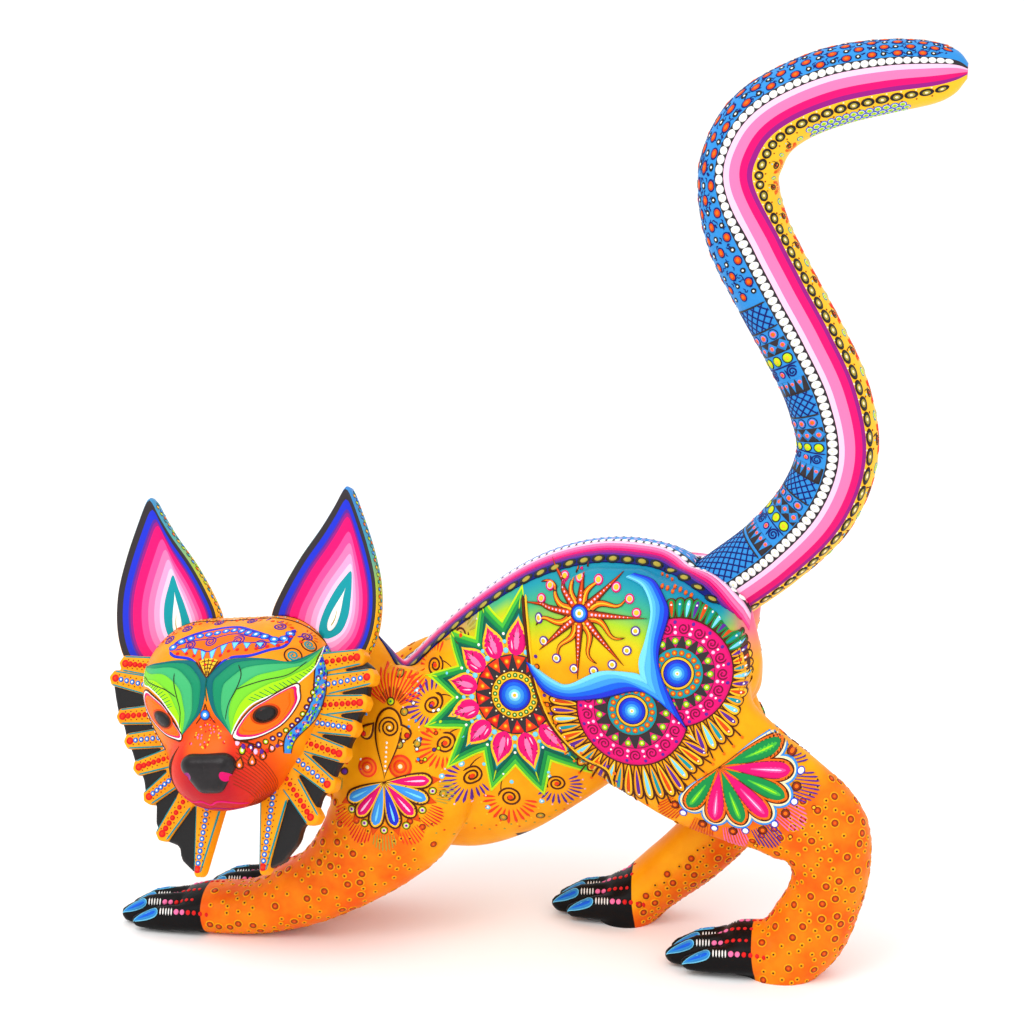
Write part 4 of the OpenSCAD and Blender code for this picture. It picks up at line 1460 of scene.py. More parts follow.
def paint_cap(brush):
    """The lace arch of the forehead."""
    top, low = bend(CAP_TOP, 50), bend(CAP_LOW, 50)
    brush.between(top, low, "orange", 1)
    brush.stroke(top, 2.0, "royal", 2)
    brush.stroke(low[:26], 1.5, "royal", 2)
    brush.stroke(low[25:], 1.5, "royal", 2)
    inner = top * 0.72 + low * 0.28
    brush.stroke(inner[2:-3], 0.9, "violet", 2)
    for k, at in enumerate(even(top[2:-3] * 0.86 + low[2:-3] * 0.14, 15)):
        brush.beads(at, [(2.1, "royal"), (1.6, "sky"), (0.7, "white")], 3, stretch=1.15)
    for x, z, r in ((-15, 28.5, 3.2), (-4, 31.5, 3.8), (12.5, 31, 3.8), (24.5, 26, 3.0)):
        brush.spiral([x, z], 0.4, r, 2.3, 40, 0.85, "violet", 3)
    middle = top * 0.45 + low * 0.55
    brush.stroke(middle[3:-4], 0.8, "violet", 2)
    for k in range(10):
        f = 5 + k * 4
        a, b, tip = middle[f], middle[f + 3], (middle[f + 1] + middle[f + 2]) / 2 * 0.42 + (low[f + 1]
                + low[f + 2]) / 2 * 0.58
        brush.triangle(a, b, tip, "royal", 3)
        brush.triangle(a * 0.86 + (b + tip) * 0.07, b * 0.86 + (a + tip) * 0.07,
                       tip * 0.86 + (a + b) * 0.07, "cyan", 4)
    for k, at in enumerate(even((top * 0.2 + low * 0.8)[4:-4], 15)):
        brush.disc(at, 0.95, "red", 4, 0.25)
    fan = [[-7, 19], [-4, 20.2], [-1.3, 20.6], [1.6, 20.2], [4.5, 19]]
    brush.between(even(fan, 9), even([[-1.6, 10.4], [-0.6, 10.4]], 9), "gold", 5)
    for k in range(5):
        brush.stroke([fan[k], [-1 + (k - 2) * 0.5, 10.6]], 0.55, "brown", 6)
    for k in range(4):
        z = 12.5 + k * 2.0
        half = (z - 10) * 0.55
        brush.stroke(bend([[-1 - half, z - 0.4], [-1, z + 0.5], [-1 + half, z - 0.4]], 8), 0.55, "brown", 6)
    brush.stroke([[-8.5, 18.6], [-1, 9.6]], 0.8, "brown", 7)
    brush.stroke([[6, 18.6], [-1, 9.6]], 0.8, "brown", 7)
    for k in range(26):
        at = polar([2, 12], 39 + 1.5 * (k % 2), 28 + 126 * k / 25)
        at[0] *= 1.12
        if k % 3:
            brush.stroke([at, at + (at - [2, 12]) * 0.10], 1.0, "violet" if k % 2 else "deep_orange", 1)
        else:
            brush.disc(at + (at - [2, 12]) * 0.05, 1.1, "scarlet", 1, 0.25)
    for x, z, way in ((31, 40.5, 60), (45, 37, 40), (-30, 32, 130), (-24, 41, 120), (14, 50, 85),
                      (-8, 50, 95)):
        brush.spiral([x, z], 0.4, 3.4, 2.1, way, 0.9, "violet", 2)
        for s in range(5):
            brush.stroke([polar([x, z], 4.2, way - 50 + s * 25), polar([x, z], 6.8, way - 50 + s * 25)], 0.8,
                         "deep_orange", 1)
    for x, z in ((40, 21.5), (47, 31)):
        brush.spiral([x, z], 0.4, 3.0, 2.0, 0, 0.9, "teal", 2)
        brush.ring([x, z], 3.8, 4.5, "brown", 2)
    brush.stroke(bend([[-53, 14], [-52, 24], [-46, 36], [-36, 45], [-22, 51], [-4, 54], [14, 54], [32, 51],
                       [48, 46],
                       [60, 38], [67, 24], [69, 8]], 70), 1.3, "brown", 2)


def paint_brows(brush):
    shares = [0, 0.14, 0.34, 0.58, 0.8, 1]
    colours = ["deep_teal", "jade", "mint", "spring", "acid"]
    for side in (1, -1):
        outer, inner = bend(BROW_OUTER[side], 90), bend(BROW_INNER[side], 90)
        brush.bands(outer, inner, shares, colours, 3)
        brush.stroke(inner, 0.7, "white", 5)
    for line in BROW_LINES:
        brush.stroke(bend(line, 26), 0.9, "black", 6, (0.5, 0.4))
    for side in (1, -1):
        for t in np.linspace(0.3, 0.9, 22):
            outer, inner = even(bend(BROW_OUTER[side], 60), 101), even(bend(BROW_INNER[side], 60), 101)
            a, b = inner[int(t * 100)], outer[int(t * 100)]
            brush.stroke([a, a + (b - a) * 0.16], 0.28, "forest", 5)
    brush.stroke(bend([[-1, 9], [-1.5, 3], [-1, -3]], 10), 0.6, "forest", 6)


def paint_eye(brush, outline, pupil, tilt):
    ring = closed_curve(outline, 56)
    centre = np.array(pupil) * 0.6 + ring.mean(axis=0) * 0.4
    core = centre + (ring - centre) * 0.02
    brush.bands(ring, core, [0, 0.1, 0.18, 0.3, 1], ["white", "magenta", "orange", "orange"], 8, closed=True)
    brush.stroke(np.concatenate([ring, ring[:1]]), 0.7, "brown", 9)
    for radius, colour in ((6.6, "deep_orange"), (5.6, "brown"), (4.6, "black")):
        brush.disc(pupil, radius * 0.8, colour, 10 + round(6.6 - radius), 0.3 if colour == "black" else 0,
                   1.42, tilt)
    brush.disc(np.array(pupil) + [-1.6, 1.6], 0.7, "rust", 14)


def paint_muzzle(brush):
    brush.stroke(bend([[-16, -45], [-11, -47.4], [-5, -46], [-1, -48], [3, -46], [9, -47.6], [16, -52]],
                      30), 0.9,
                 "magenta", 2)
    brush.stroke(bend([[-12, -50], [-4, -51.5], [0, -50.5], [5, -52], [12, -56]], 24), 0.6, "plum", 2)
    whisker = bend([[16, -23], [22, -27.5], [28, -34], [31.5, -41], [33, -50], [27, -60], [17, -68]], 40)
    hub = np.array([9.0, -50.0])
    for k in range(12):
        brush.stroke(hub + (whisker - hub) * (1 - 0.052 * k), 0.24, "rust", 2)
    for k in range(9):
        start = np.array([-17 - k * 1.0, -25 - k * 1.0])
        brush.stroke(bend([start, start + [-3.4, -6], start + [-4.4, -14], start + [-2, -21 + k * 0.6]],
                          18), 0.3,
                     "brown", 2)
    for x, z in ((17, -20), (20, -21), (23, -23)):
        brush.stroke(bend([[x - 4, z + 1], [x, z - 3], [x + 5, z - 5]], 10), 0.6, "brown", 2)
    rng = random.Random(3)
    for k in range(60):
        z = -13 - 12 * rng.random()
        x = rng.uniform(-1, 1) * (3.5 + (-z - 13) * 0.62)
        brush.disc([x, z], 0.42, ("rose", "red", "gold")[k % 3], 2, 0.12)
    brush.beads([-2.2, -10.3], [(3.0, "brown"), (2.7, "blue"), (2.1, "sky"), (1.1, "white")], 6, dome=0.5)
    brush.stroke(bend([[-8, -15], [-4, -10], [-2, -4]], 12), 0.5, "brown", 5)
    brush.stroke(bend([[4, -15], [0, -10], [-2, -4]], 12), 0.5, "brown", 5)


def paint_cheeks(brush):
    under = bend([[18, -27], [28, -26], [37, -22], [44, -16.5], [49.5, -9], [52, -1], [53.5, 7],
                  [55.5, 17]], 60)
    for k, at in enumerate(even(under, 16)):
        brush.beads(at, [(1.7, "brown"), (1.2, "violet" if k % 3 else "lime"), (0.6, "white")], 3)
    middle = even(under, 60)
    for k, at in enumerate(even(middle, 14)):
        away = unit(at - np.array([28, -2]))
        foot, tip = at + away * 2.0, at + away * 7.0
        brush.nested_drop(foot, tip, 4.4, [(1.0, (0, 1), "brown"), (0.62, (0.2, 0.88), "orange")], 2,
                          wide_at=0.7)
        brush.disc(tip - away * 1.6, 0.6, "blush", 5, 0.1)
    for k, at in enumerate(even([[16, -24], [22, -28], [30, -30], [37, -28]], 8)):
        brush.disc(at, 1.1, ("blush", "violet", "red")[k % 3], 3, 0.25)
    outer = bend([[65, 43], [60, 22], [61.5, 4], [59.5, -11], [48, -25], [45, -34]], 60)
    inner = bend([[59, 42], [52, 22], [53, 4], [51, -10], [42, -22], [40.5, -33]], 60)
    brush.between(inner, outer, "sky", 3)
    brush.stroke(inner, 0.7, "brown", 4)
    brush.stroke(outer, 0.7, "brown", 4)
    path = (inner + outer) / 2
    rng = random.Random(9)
    for k in range(110):
        i = rng.randrange(2, 57)
        t = rng.uniform(0.14, 0.86)
        at = inner[i] * t + outer[i] * (1 - t)
        brush.disc(at, 0.75, ("lime", "royal", "leaf", "royal")[k % 4], 4, 0.1, 1.5, 80)
    for k, at in enumerate(even([[-45, -2], [-48, -10], [-47, -20], [-42, -28]], 10)):
        brush.beads(at, [(1.6, "brown"), (1.1, "violet"), (0.5, "white")], 3)
    for side, path in ((1, [[66, 20], [66, 0], [60, -22], [52, -38]]),
                       (-1, [[-54, 6], [-54, -12], [-50, -30]])):
        for k, at in enumerate(even(path, 12)):
            brush.disc(at + np.array([3 * side, 0]), 0.9, "rust" if k % 2 else "red", 2, 0.2)


def paint_head(tree):
    lean = math.radians(20)
    axis = np.array([0, -math.cos(lean), math.sin(lean)])
    rise = np.array([0, math.sin(lean), math.cos(lean)])
    chart = ball_chart(tree, head_to_design([0, 0, 8]), HEAD_TURN @ axis, HEAD_TURN @ [1.0, 0, 0],
                       HEAD_TURN @ rise, 45.0)
    brush = Painter("paint_face", chart)
    paint_cap(brush)
    paint_brows(brush)
    for outline, pupil, tilt in EYES:
        paint_eye(brush, outline, pupil, tilt)
    paint_muzzle(brush)
    paint_cheeks(brush)
    return brush


def nose_material():
    nodes = Nodes("nose_black", 0.28, 0.35)
    shade = ramp(nodes, nodes.noise(180.0), [(0.3, (22, 18, 20)), (0.7, (34, 28, 30))])
    nodes.put(nodes.shader.inputs["Base Color"], shade)
    nodes.brushed()
    return nodes.material


def build_nose():
    """A broad black nose with a groove down its middle and two carved nostrils."""
    mesh = bmesh.new()
    add_hull(mesh, [([-7, 0, 3], [7.5, 7, 6]), ([8, 0, 3], [7.5, 7, 6]), ([-2, 0, -5], [6, 6.5, 6]),
                    ([4, 0, -5], [6, 6.5, 6])])
    nose = carved(object_of("nose", mesh, nose_material()), 0.6, 22)
    for side in (-1, 1):
        mesh = bmesh.new()
        add_hull(mesh, [([side * 9.5 + 0.5, -8.5, -2], [2.2, 3.6, 3.4]),
                        ([side * 13, -4, -4], [2.4, 4, 3.2])])
        cut(nose, object_of("nostril", mesh, PAINT["magenta" if side > 0 else "plum"]))
    mesh = bmesh.new()
    add_hull(mesh, [([0.5, -8, 4], [0.7, 1.2, 1.2]), ([0.5, -8.5, -10], [0.9, 1.6, 2])])
    cut(nose, object_of("groove", mesh, nose.data.materials[0]))
    return move(move(nose, lambda co: co * [1.08, 1.0, 1.12] + NOSE_AT + [0, 3.0, -0.6]), head_to_design)


def paint_ear(side, ear):
    """The white heart of an ear with its gold line, and the dots round its edge and back."""
    base = EAR_BASE * [side, 1, 1]
    turned = [HEAD_TURN @ np.array(v) for v in ([float(side), 0, 0], PLANE_UP, PLANE_OUT)]
    tree = surface_of(ear)
    brush = Painter("paint_ear_" + ("left" if side > 0 else "right"),
                    flat_chart(tree, head_to_design(base), turned[0], turned[1], turned[2]))
    tip, foot = (np.array(p) for p in EAR_HEARTS[side])
    brush.drop(tip * 0.9 + foot * 0.1, foot, 5.6, "white", 3, wide_at=0.74, power=1.5)
    brush.stroke(bend([tip * 0.45 + foot * 0.55, tip * 0.25 + foot * 0.75 + [0.8, 0],
                       foot + (tip - foot) * 0.1], 12), 0.8,
                 "olive", 4, (0.3, 1))
    brush.chart = flat_chart(tree, head_to_design(base), turned[0], turned[1], -turned[2], 0.05)
    outline = closed_curve(EAR_OUTLINE, 120)
    middle = np.array([14.0, 24.0])
    rng = random.Random(17)
    for ring in range(1, 9):
        around = middle + (outline - middle) * (1.02 - 0.11 * ring)
        for at in even(around, max(10, 60 - ring * 6)):
            colour = rng.choice(["lime", "teal", "orange", "sky", "gold", "magenta"])
            brush.beads(at + np.array([rng.uniform(-0.5, 0.5), rng.uniform(-0.5, 0.5)]),
                        [(1.5, "brown"), (1.1, colour)], 2)
    for way in (1, -1):
        brush.chart = flat_chart(tree, head_to_design(base), -way * turned[2], turned[1], way * turned[0],
                                 0.25)
        for k in range(46):
            v = -8 + 94 * k / 46
            colour = ("teal", "orange", "lime", "sky", "gold")[k % 5]
            brush.beads([-3.2 * way + 2.2 * way * (k % 2), v], [(1.2, "brown"), (0.85, colour)], 2)
    return brush
# ---------------------------------------------------------------- the painted paws

PAWS = {"foreleg_left": [-186, -44, 9], "foreleg_right": [-152, -1, 9], "hindleg_left": [132, -40, 10],
        "hindleg_right": [56, 21, 10]}


def paint_paw(tree, name):
    """A blue claw, a row of white ticks and a row of dots on each toe."""
    brush, root = Painter("paint_paw_" + name), PAWS[name]
    slope = math.radians(42)
    out, up = np.array([0, -math.sin(slope), math.cos(slope)]), np.array([0, math.cos(slope),
                                                                          math.sin(slope)])
    for across, back, scale in TOES:
        tip = root[0] + back - 4 - TOE_LENGTH * 0.8 - TOE_R * scale * 0.7
        centre = np.array([0, root[1] + across * TOE_PITCH, root[2]])
        brush.chart = flat_chart(tree, centre, [1, 0, 0], up, out, 0.3)
        brush.nested_drop([tip + 1.5, -3.4], [tip + 17, 1.6], 5.6, [
            (1.0, (0, 1), "cyan"), (0.8, (0.05, 0.98), "tail_blue"), (0.3, (0.2, 0.9), "blue")], 2,
            wide_at=0.82, power=0.8)
        for k in range(5):
            brush.stroke([[tip + 18.6 + k * 1.7, 3.4], [tip + 18.9 + k * 1.7, -0.6]], 0.75, "white", 2)
        for k in range(6):
            brush.disc([tip + 28.5 + k * 3.6, 1.4], 1.5 - 0.1 * k, "rose" if k < 2 else "red", 2, 0.4)
    return brush


# ---------------------------------------------------------------- the ruff beside the face

RUFF_RIM = {
    1: [[26, 8], [58, 16], [70, 14], [82, 5], [79, -6], [78, -16], [73, -23], [73, -29], [68, -37], [66, -43],
        [60, -52], [57, -60], [50, -68], [46, -81], [39, -84], [36, -94], [27, -104], [14, -110], [17, -98],
        [18, -85], [18, -70], [14, -50]],
    -1: [[26, 8], [58, 16], [66, 16], [80, 6], [78, -6], [75, -19], [72, -23], [69, -34], [66, -39],
         [63, -48],
         [58, -55], [56, -66], [49, -70], [49, -82], [44, -91], [33, -95], [32, -103], [24, -110], [19, -100],
         [15, -91], [12, -82], [10, -74], [10, -50]]}
# Each lock of hair from its root to its end, outward and upward in the ruff's plane
LOCKS = {
    1: [[48, 6, 74, 9], [52, -6, 80, -2], [51, -17, 76, -16], [47, -26, 70, -30], [40, -36, 64, -44],
        [36, -45, 57, -61], [32, -57, 47, -79], [24, -64, 18, -106]],
    -1: [[48, 7, 70, 10], [50, -4, 76, 2], [46, -19, 71, -20], [40, -32, 66, -34], [38, -43, 60, -49],
         [36, -54, 53, -66], [29, -66, 44, -87], [15, -66, 21.5, -107]]}
LOCK_HALF, LOCK_TAPER = 6.0, 0.78
LONG_HALF, LONG_TAPER = 8.6, 0.3


def ruff_to_design(side, flat, height):
    flat = np.asarray(flat, float)
    p = RUFF_AT + np.outer(side * flat[:, 0], [1, 0, 0]) + np.outer(flat[:, 1], PLANE_UP)
    return head_to_design(p + np.outer(np.broadcast_to(height, len(flat)), PLANE_OUT))


def add_bar(mesh, start, end, half, low, high, taper=1.0):
    """A round-ended bar with softened edges, in ruff-plane coordinates."""
    start, end = np.asarray(start, float), np.asarray(end, float)
    along = (end - start) / np.linalg.norm(end - start)
    across = np.array([-along[1], along[0]])
    balls = []
    for at, scale in ((start, 1.0), (end, taper)):
        for s in (-1, 0, 1):
            spot = at + across * s * (half * scale - 1.6) + along * (0 if s else 1.4) * (1
                    if scale == taper else -1)
            for h in (low + 1.6, high - 1.6 - (0.6 if s else 0)):
                balls.append(([spot[0], h, spot[1]], [1.6, 1.6, 1.6]))
    add_hull(mesh, balls)


def build_ruff(side):
    """A black carved ground with raised locks over it."""
    rim = np.array(RUFF_RIM[side], float)
    middle = rim.mean(axis=0)
    outline = even(np.concatenate([rim, rim[:1]]), 161)[:-1]
    mesh = bmesh.new()
    rings = []
    for scale, h in ((0.5, -5.9), (0.9, -5.9), (0.955, -4.6), (0.965, -1.5), (0.95, 2.0), (0.88, 2.8),
                     (0.5, 3.0)):
        rings.append([mesh.verts.new((p[0], h, p[1])) for p in middle + (outline - middle) * scale])
    for a, b in zip(rings, rings[1:]):
        for k in range(len(a)):
            mesh.faces.new((a[k], a[(k + 1) % len(a)], b[(k + 1) % len(a)], b[k]))
    mesh.faces.new(rings[0][::-1])
    mesh.faces.new(rings[-1])
    ground = carved(object_of("ruff_ground", mesh, PAINT["black"]), 1.1, 4)
    mesh = bmesh.new()
    locks = LOCKS[side]
    for i, (u0, v0, u1, v1) in enumerate(locks):
        last = i == len(locks) - 1
        half, taper = (LONG_HALF, LONG_TAPER) if last else (LOCK_HALF, LOCK_TAPER)
        add_bar(mesh, [u0, v0], [u1, v1], half, -5.2, 5.6, taper)
    for a, b in zip(locks, locks[1:]):
        p, q = np.array(a[:2], float), np.array(b[:2], float)
        hub = np.array([10.0, -22.0])
        corners = (p, q, hub + (p - hub) * 0.6, hub + (q - hub) * 0.6)
        add_hull(mesh, [([s[0], h, s[1]], [3, 1.6, 3]) for s in corners for h in (-3.6, 3.9)])
    hair = carved(object_of("ruff_hair", mesh, RUFF_PAINT), 0.75, 5)
    made = []
    for piece, name in ((ground, "ground"), (hair, "hair")):
        move(piece, lambda co: ruff_to_design(side, co[:, [0, 2]], co[:, 1]))
        cut(piece, ear_keepout(side))
        piece.name = piece.data.name = "ruff_" + ("left_" if side > 0 else "right_") + name
        made.append(piece)
    return made


def ear_keepout(side):
    """The room left round the foot of an ear."""
    mesh = bmesh.new()
    outline = closed_curve(EAR_OUTLINE, 80)
    middle = outline.mean(axis=0)
    grown = middle + (outline - middle) * 1.03
    rings = []
    for h in (-EAR_THICK / 2 - 0.6, EAR_THICK / 2 + 0.6):
        points = [EAR_BASE * [side, 1, 1] + np.array([side * u, 0, 0]) + PLANE_UP * v + PLANE_OUT * h for u,
                  v in grown]
        rings.append([mesh.verts.new(p) for p in head_to_design(points)])
    for k in range(80):
        mesh.faces.new((rings[0][k], rings[0][(k + 1) % 80], rings[1][(k + 1) % 80], rings[1][k]))
    mesh.faces.new(rings[0][::-1])
    mesh.faces.new(rings[1])
    return object_of("keepout", mesh)


def ruff_material():
    nodes = Nodes("painted_ruff_hair", 0.42, 0.08)
    shade = ramp(nodes, nodes.noise(55.0, 4.0), [(0.3, (246, 150, 8)), (0.7, (253, 172, 18))])
    nodes.put(nodes.shader.inputs["Base Color"], shade)
    nodes.brushed()
    return nodes.material


RUFF_PAINT = ruff_material()


def paint_ruff(side, hair):
    """Dot rows down each lock and the thin teal line at its edges."""
    origin = ruff_to_design(side, [[0, 0]], 0)[0]
    right, up, out = (HEAD_TURN @ np.array(v) for v in ([1.0, 0, 0], PLANE_UP, PLANE_OUT))
    brush = Painter("paint_ruff_" + ("left" if side > 0 else "right"),
                    flat_chart(surface_of(hair), origin, right, up, out))
    for i, (u0, v0, u1, v1) in enumerate(LOCKS[side]):
        start, end = np.array([side * u0, v0], float), np.array([side * u1, v1], float)
        along = (end - start) / np.linalg.norm(end - start)
        across = np.array([-along[1], along[0]])
        last = i == len(LOCKS[side]) - 1
        half, taper = (LONG_HALF, LONG_TAPER) if last else (LOCK_HALF, LOCK_TAPER)
        for s in (-1, 1):
            edge = [start + across * s * (half - 0.9) + along * 3, end + across * s * (half * taper - 0.9)]
            brush.stroke(edge, 0.7, "teal", 2)
        spots = even([start - along * 4, end - along * 1.5], 9 if not last else 14)
        for k, at in enumerate(spots):
            big = k == len(spots) - 1
            if i % 2:
                rings = [(1.5, "royal"), (1.2, "sky"), (0.6, "white")]
            else:
                rings = [(1.25 + 0.06 * k, "red"), (0.5, "scarlet")]
            brush.beads(at, [(2.1, "red"), (1.0, "scarlet")] if big else rings, 2, dome=0.35)
        for k, at in enumerate((spots[:-1] + spots[1:]) / 2):
            for s in (-1, 1):
                brush.disc(at + across * s * 2.3, 0.4, "rust", 2, 0.1)
    return brush
# ---------------------------------------------------------------- the painted tail

DEGREE = 0.358


def tail_chart():
    """Millimetres along the tail, and round it from its back towards the animal's left."""
    run_table = np.linspace(0, TAIL_RUN[-1], 800)
    stations = np.stack([np.interp(run_table, TAIL_RUN, TAIL_PATH[:, k]) for k in range(5)], 1)
    heading = np.gradient(stations[:, :3], axis=0)
    heading /= np.linalg.norm(heading, axis=1)[:, None]

    def where(uv):
        run = np.clip(uv[:, 0], 0, TAIL_RUN[-1])
        s = np.stack([np.interp(run, run_table, stations[:, k]) for k in range(5)], 1)
        h = np.stack([np.interp(run, run_table, heading[:, k]) for k in range(3)], 1)
        a = np.radians(uv[:, 1] / DEGREE)
        wide, tall = (np.sign(t) * np.abs(t) ** 0.92 for t in (-np.sin(a), np.cos(a)))
        back = np.stack([-h[:, 2], np.zeros(len(h)), h[:, 0]], 1)
        side = np.array([[0.0, 1.0, 0.0]])
        point = s[:, :3] + back * (tall * s[:, 4])[:, None] + side * (wide * s[:, 3])[:, None]
        normal = back * (tall / s[:, 4])[:, None] + side * (wide / s[:, 3])[:, None]
        return point, normal / np.linalg.norm(normal,
                                              axis=1)[:, None], (uv[:, 0] > 3) & (np.abs(uv[:, 1]) < 66)
    return where


def edge_at(run, low, high):
    share = float(smooth_rise(run, 235, 290))
    return (low * (1 - share) + high * share) * DEGREE


def crosshatch(brush, start, end, half):
    step = 5.0
    for k in range(int((2 * half + (end - start)) / step) + 1):
        for way in (1, -1):
            v0 = -half - (end - start) + k * step
            a, b = np.array([start, way * v0]), np.array([end, way * (v0 + end - start)])
            lo, hi = (-half - v0) / (end - start), (half - v0) / (end - start)
            t0, t1 = max(0, lo), min(1, hi)
            if t1 > t0:
                brush.stroke([a + (b - a) * t0, a + (b - a) * t1], 0.75, "navy", 2)
    for x in (start, end):
        brush.stroke(even([[x, -half], [x, half]], 16), 0.9, "charcoal", 3)


def tail_group(brush, top, bottom):
    """One set of patterns round the tail's back, from a run down to a lower one."""
    def at(share):
        return top + (bottom - top) * share

    half = edge_at((top + bottom) / 2, 79, 58)
    crosshatch(brush, at(0.26), at(0.0), half)
    across = np.arange(-half + 3, half - 2, 7.0)
    for v in across:
        brush.beads([at(0.33), v], [(2.9, "navy"), (2.4, "tail_blue"), (1.7, "rose"), (1.2, "orange")], 2)
    brush.between(even([[at(0.39), -half], [at(0.39), half]], 24),
                  even([[at(0.54), -half], [at(0.54), half]], 24),
                  "charcoal", 2)
    length = abs(at(0.54) - at(0.39))
    for v in across + 2:
        middle = np.array([at(0.465), v])
        brush.between([middle + [-length * 0.46, 0], middle + [0, 3.6]],
                      [middle + [0, -3.6], middle + [length * 0.46, 0]],
                      "tail_blue", 3)
        brush.beads(middle, [(1.35, "rose"), (0.95, "orange")], 4)
    for v in across + 1:
        brush.beads([at(0.61), v], [(3.0, "black"), (2.4, "lime"), (1.2, "gold")], 2)
    brush.stroke(even([[at(0.68), -half], [at(0.68), half]], 24), 0.8, "navy", 2)
    for k, v in enumerate(across):
        if k % 2:
            brush.spiral([at(0.755), v], 0.5, 3.4, 2.1, 30, 0.85, "navy", 2)
        else:
            brush.beads([at(0.755), v], [(2.1, "navy"), (1.5, "rose"), (1.0, "orange")], 2)
            brush.stroke([[at(0.71), v + 3], [at(0.82), v + 4]], 0.7, "navy", 2)
    brush.between(even([[at(0.84), -half], [at(0.84), half]], 24),
                  even([[at(1.0), -half], [at(1.0), half]], 24),
                  "charcoal", 2)
    for v in np.arange(-half + 2.6, half - 1, 4.6):
        brush.triangle([at(0.84), v - 2.1], [at(0.84), v + 2.1], [at(0.985), v], "tail_blue", 3)
        brush.beads([at(0.885), v], [(1.1, "rose"), (0.7, "orange")], 4)


def paint_tail():
    """The lattice, bands, hooks and dots on the blue back of the tail."""
    brush = Painter("paint_tail", tail_chart())
    rng = random.Random(11)
    crosshatch(brush, 6, 44, edge_at(10, 79, 58))
    for top, bottom in ((210, 157), (157, 100), (100, 46)):
        tail_group(brush, top, bottom)
    for k in range(900):
        run = 214 + 194 * rng.random()
        limit = edge_at(run, 77, 56) * min(1.0, (TAIL_RUN[-1] - run) / 14)
        v = rng.uniform(-1, 1) * limit
        a = rng.uniform(0, 2 * math.pi)
        r = 1.3
        points = [[run + r * math.cos(a + t), v + r * math.sin(a + t)] for t in (0, 1.1, 2.2)]
        brush.stroke(points, 0.5, "navy", 1)
    row = 0
    for run in np.arange(217, 410, 6.2):
        limit = edge_at(run, 72, 52) * min(1.0, (TAIL_RUN[-1] - run) / 16)
        row += 1
        for k, v in enumerate(np.arange(-limit, limit + 0.1, max(2 * limit / 7, 2))):
            if (k + row) % 2:
                brush.beads([run, v], [(2.3, "navy"), (1.7, "deep_orange"), (0.9, "orange")], 2, stretch=1.15)
            else:
                brush.beads([run + rng.uniform(-1, 1), v], [(1.5, "black"), (0.6, "white")], 2)
    return brush


def paint_tail_edges():
    """The bead rows beside the stripes and the rings and shells of the yellow belly of the tail."""
    brush = Painter("paint_tail_edges", tail_chart())
    for side in (1, -1):
        for run in np.arange(6.8, 414, 4.2):
            v = side * edge_at(run, 87.5, 66)
            brush.disc([run, v], 2.05, "white", 2, 0.9 if run > 34 else 0.3)
            brush.disc([run + 0.2, v], 0.5, "cream", 19, 0.05)
        for run in np.arange(8, 408, 7.8):
            v = side * edge_at(run, 144, 122)
            brush.beads([run, v], [(2.75, "brown"), (2.5, "black"), (1.55, "olive"), (0.7, "cream")], 2,
                        stretch=1.35)
        for run in np.arange(34, 408, 7.8):
            brush.disc([run, side * edge_at(run, 137, 113.5)], 0.5, "cream", 2, 0.15)
            brush.disc([run, side * edge_at(run, 153, 133)], 0.5, "rust", 2, 0.15)
        for run in np.arange(330, 386, 4.6):
            for v in (140, 151, 162):
                brush.beads([run + (v % 2) * 2, side * v * DEGREE],
                            [(2.3, "blue"), (1.8, "white"), (1.5, "lime"), (0.5, "leaf")], 2)
        for run in np.arange(60, 320, 21):
            at = [run, side * edge_at(run, 168, 150)]
            brush.shell(at, 90 * side, 2.6, ("scarlet", "rose", "olive")[int(run) % 3], 1)
            brush.beads([run + 10, at[1]], [(2.2, "teal"), (1.7, "cream"), (1.3, "lime")], 1)
    return brush
# ---------------------------------------------------------------- building and placing the pieces

def place(made, body, slot, *nodes):
    """Moves a finished piece into the row frame, sets its body and what it stands for. Its slot is not used.
    """
    move(made, to_row)
    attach(made, body)
    if nodes:
        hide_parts(*nodes)
    return made


# The round seat of the tail in the rump and the bores for its peg, in millimetres
SEAT_R, RUMP_BORE_R, TAIL_BORE_R = 20.7, 8.06, 8.1
# How many spots are strewn on the legs: fore left, fore right, hind left, hind right
SPOT_COUNTS = (360, 220, 360, 280)

body = build_body()
whole_body = surface_of(body)
cut(body, rod(TAIL_SEAT - TAIL_WAY * 0.3, TAIL_WAY, SEAT_R, 60, WOOD))
cut(body, rod(TAIL_SEAT - TAIL_WAY * 35, TAIL_WAY, RUMP_BORE_R, 60, WOOD))
head = build_head()
ears = {side: build_ear(side) for side in (1, -1)}
tail = build_tail()
cut(tail, rod(TAIL_SEAT - TAIL_WAY * 5, TAIL_WAY, TAIL_BORE_R, 31, WOOD))
body_tree, head_tree = surface_of(body), surface_of(head)
body_skin, head_skin = skin_of(body), skin_of(head)


def nape_mask(x, y, z):
    """The part of the head behind the face's painting."""
    local = (np.stack([x, y, z], 1) - HEAD_AT) @ HEAD_TURN
    behind = local[:, 1] > 12
    below = (local[:, 1] > -14) & (local[:, 2] < -12)
    above = (local[:, 1] > 0) & (local[:, 2] > 44)
    return behind | below | above


ruffs = {side: build_ruff(side) for side in (1, -1)}
hearts = {side: paint_ear(side, ears[side]) for side in (1, -1)}
locks = {side: paint_ruff(side, ruffs[side][1]) for side in (1, -1)}

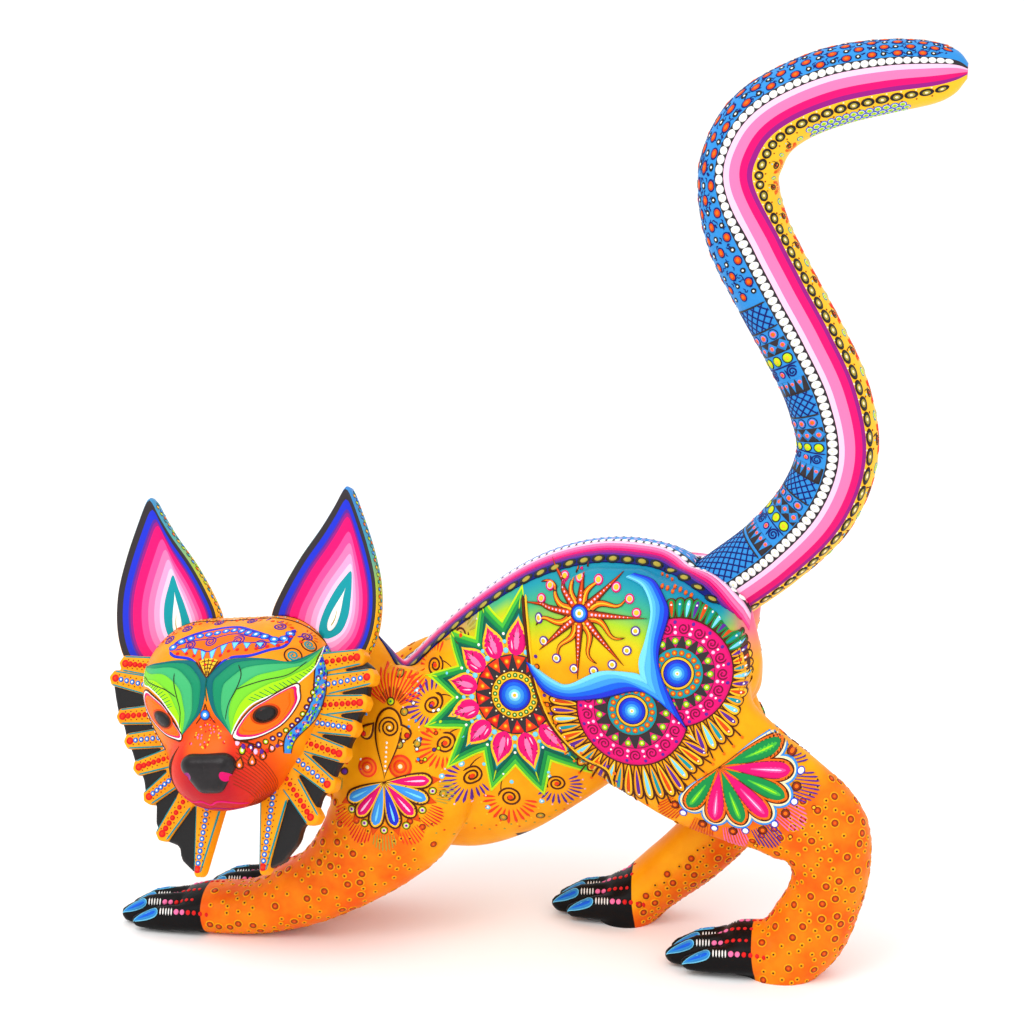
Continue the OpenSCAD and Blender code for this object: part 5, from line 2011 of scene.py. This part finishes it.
place(body, "figure", "painted_torso", "torso", "foreleg_left", "foreleg_right", "hindleg_left",
      "hindleg_right", "foreleg_left_dowels", "foreleg_right_dowels", "hindleg_left_dowels",
      "hindleg_right_dowels", "neck_dowel")
place(head, "figure", "painted_head", "head")
place(ears[1], "ear_left", "painted_ears", "ear_left")
place(ears[-1], "ear_right", "painted_ears", "ear_right")
place(tail, "tail", "painted_tail", "tail")
place(build_nose(), "figure", "painted_head")
for side, name in ((1, "left"), (-1, "right")):
    ground, hair = ruffs[side]
    place(ground, "figure", "painted_ruff", "ruff_" + name)
    place(hair, "figure", "painted_ruff")
    locks[side].finish("figure", "painted_ruff")
    hearts[side].finish("ear_" + name, "painted_ears")
paint_tail().finish("tail", "painted_tail")
paint_tail_edges().finish("tail", "painted_tail")

ridge = back_chart(whole_body, body_tree)
for side in (1, -1):
    for brush in paint_flank(body_tree, side):
        brush.finish("figure", "painted_torso")
    paint_back(ridge, side).finish("figure", "painted_torso")

paint_head(head_tree).finish("figure", "painted_head")
for number, name in enumerate(PAWS):
    paint_paw(body_tree, name).finish("figure", "painted_legs")
    count = SPOT_COUNTS[number]
    scatter("spots_" + name, body_skin, leg_mask(number), count, 3 + number).finish("figure", "painted_legs")
rings = [(2.4, "rust"), (1.8, "gold"), (0.8, "red")]
scatter("spots_nape", head_skin, nape_mask, 300, 31, rings,
        [(1.0, "teal"), (0.5, "cream")]).finish("figure", "painted_head")
neck_spots = scatter("spots_neck", body_skin, neck_mask, 220, 37, rings, [(1.0, "deep_orange")])
neck_spots.finish("figure", "painted_torso")


for name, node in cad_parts.items():
    if not node.hide_render:
        node.data.materials.clear()
        node.data.materials.append(WOOD)


# ---------------------------------------------------------------- floor, light and camera

def stage_material():
    nodes = Nodes("floor_white", 0.55)
    shade = ramp(nodes, nodes.noise(3.0), [(0.3, (0.99, 0.99, 0.99, 1)), (0.7, (1, 1, 1, 1))])
    nodes.put(nodes.shader.inputs["Base Color"], shade)
    return nodes.material


def build_stage():
    mesh = bmesh.new()
    corners = [mesh.verts.new(p) for p in ((-20000, -20000, 0), (20000, -20000, 0), (20000, 20000, 0),
                                           (-20000, 20000, 0))]
    mesh.faces.new(corners)
    floor = move(object_of("floor", mesh, stage_material()), to_row)


def add_light(name, place_mm, target_mm, size, power):
    data = bpy.data.lights.new(name, "AREA")
    data.shape = "RECTANGLE"
    data.size = size[0]
    data.size_y = size[1]
    data.energy = power
    made = bpy.data.objects.new(name, data)
    bpy.context.scene.collection.objects.link(made)
    made.location = to_row(place_mm)
    aim = Vector(to_row(target_mm)) - made.location
    made.rotation_euler = aim.to_track_quat("-Z", "Y").to_euler()


def build_light():
    world = bpy.data.worlds.new("studio")
    bpy.context.scene.world = world
    world.use_nodes = True
    background = world.node_tree.nodes["Background"]
    background.inputs[0].default_value = (1, 1, 1, 1)
    background.inputs[1].default_value = 1.08
    add_light("key", (-500, -900, 1300), (0, 0, 200), (1.0, 1.0), 9)
    add_light("fill", (1100, -900, 700), (0, 0, 200), (1.0, 1.0), 2)
    add_light("top", (0, 200, 1500), (0, 0, 200), (1.4, 1.4), 2.5)


def build_camera():
    data = bpy.data.cameras.new("camera")
    data.lens = 85
    data.sensor_width = 36
    data.clip_end = 50
    made = bpy.data.objects.new("camera", data)
    bpy.context.scene.collection.objects.link(made)
    turn, rise, distance = math.radians(12), math.radians(13), 1329.8
    target = np.array([0.0, -25.0, 250.0])
    back = np.array([math.sin(turn) * math.cos(rise), -math.cos(turn) * math.cos(rise), math.sin(rise)])
    made.location = to_row(target + back * distance)
    made.rotation_euler = Vector(-back).to_track_quat("-Z", "Y").to_euler()
    bpy.context.scene.camera = made


build_stage()
build_light()
build_camera()
bpy.context.scene.view_settings.view_transform = "Standard"

bpy.context.view_layer.update()
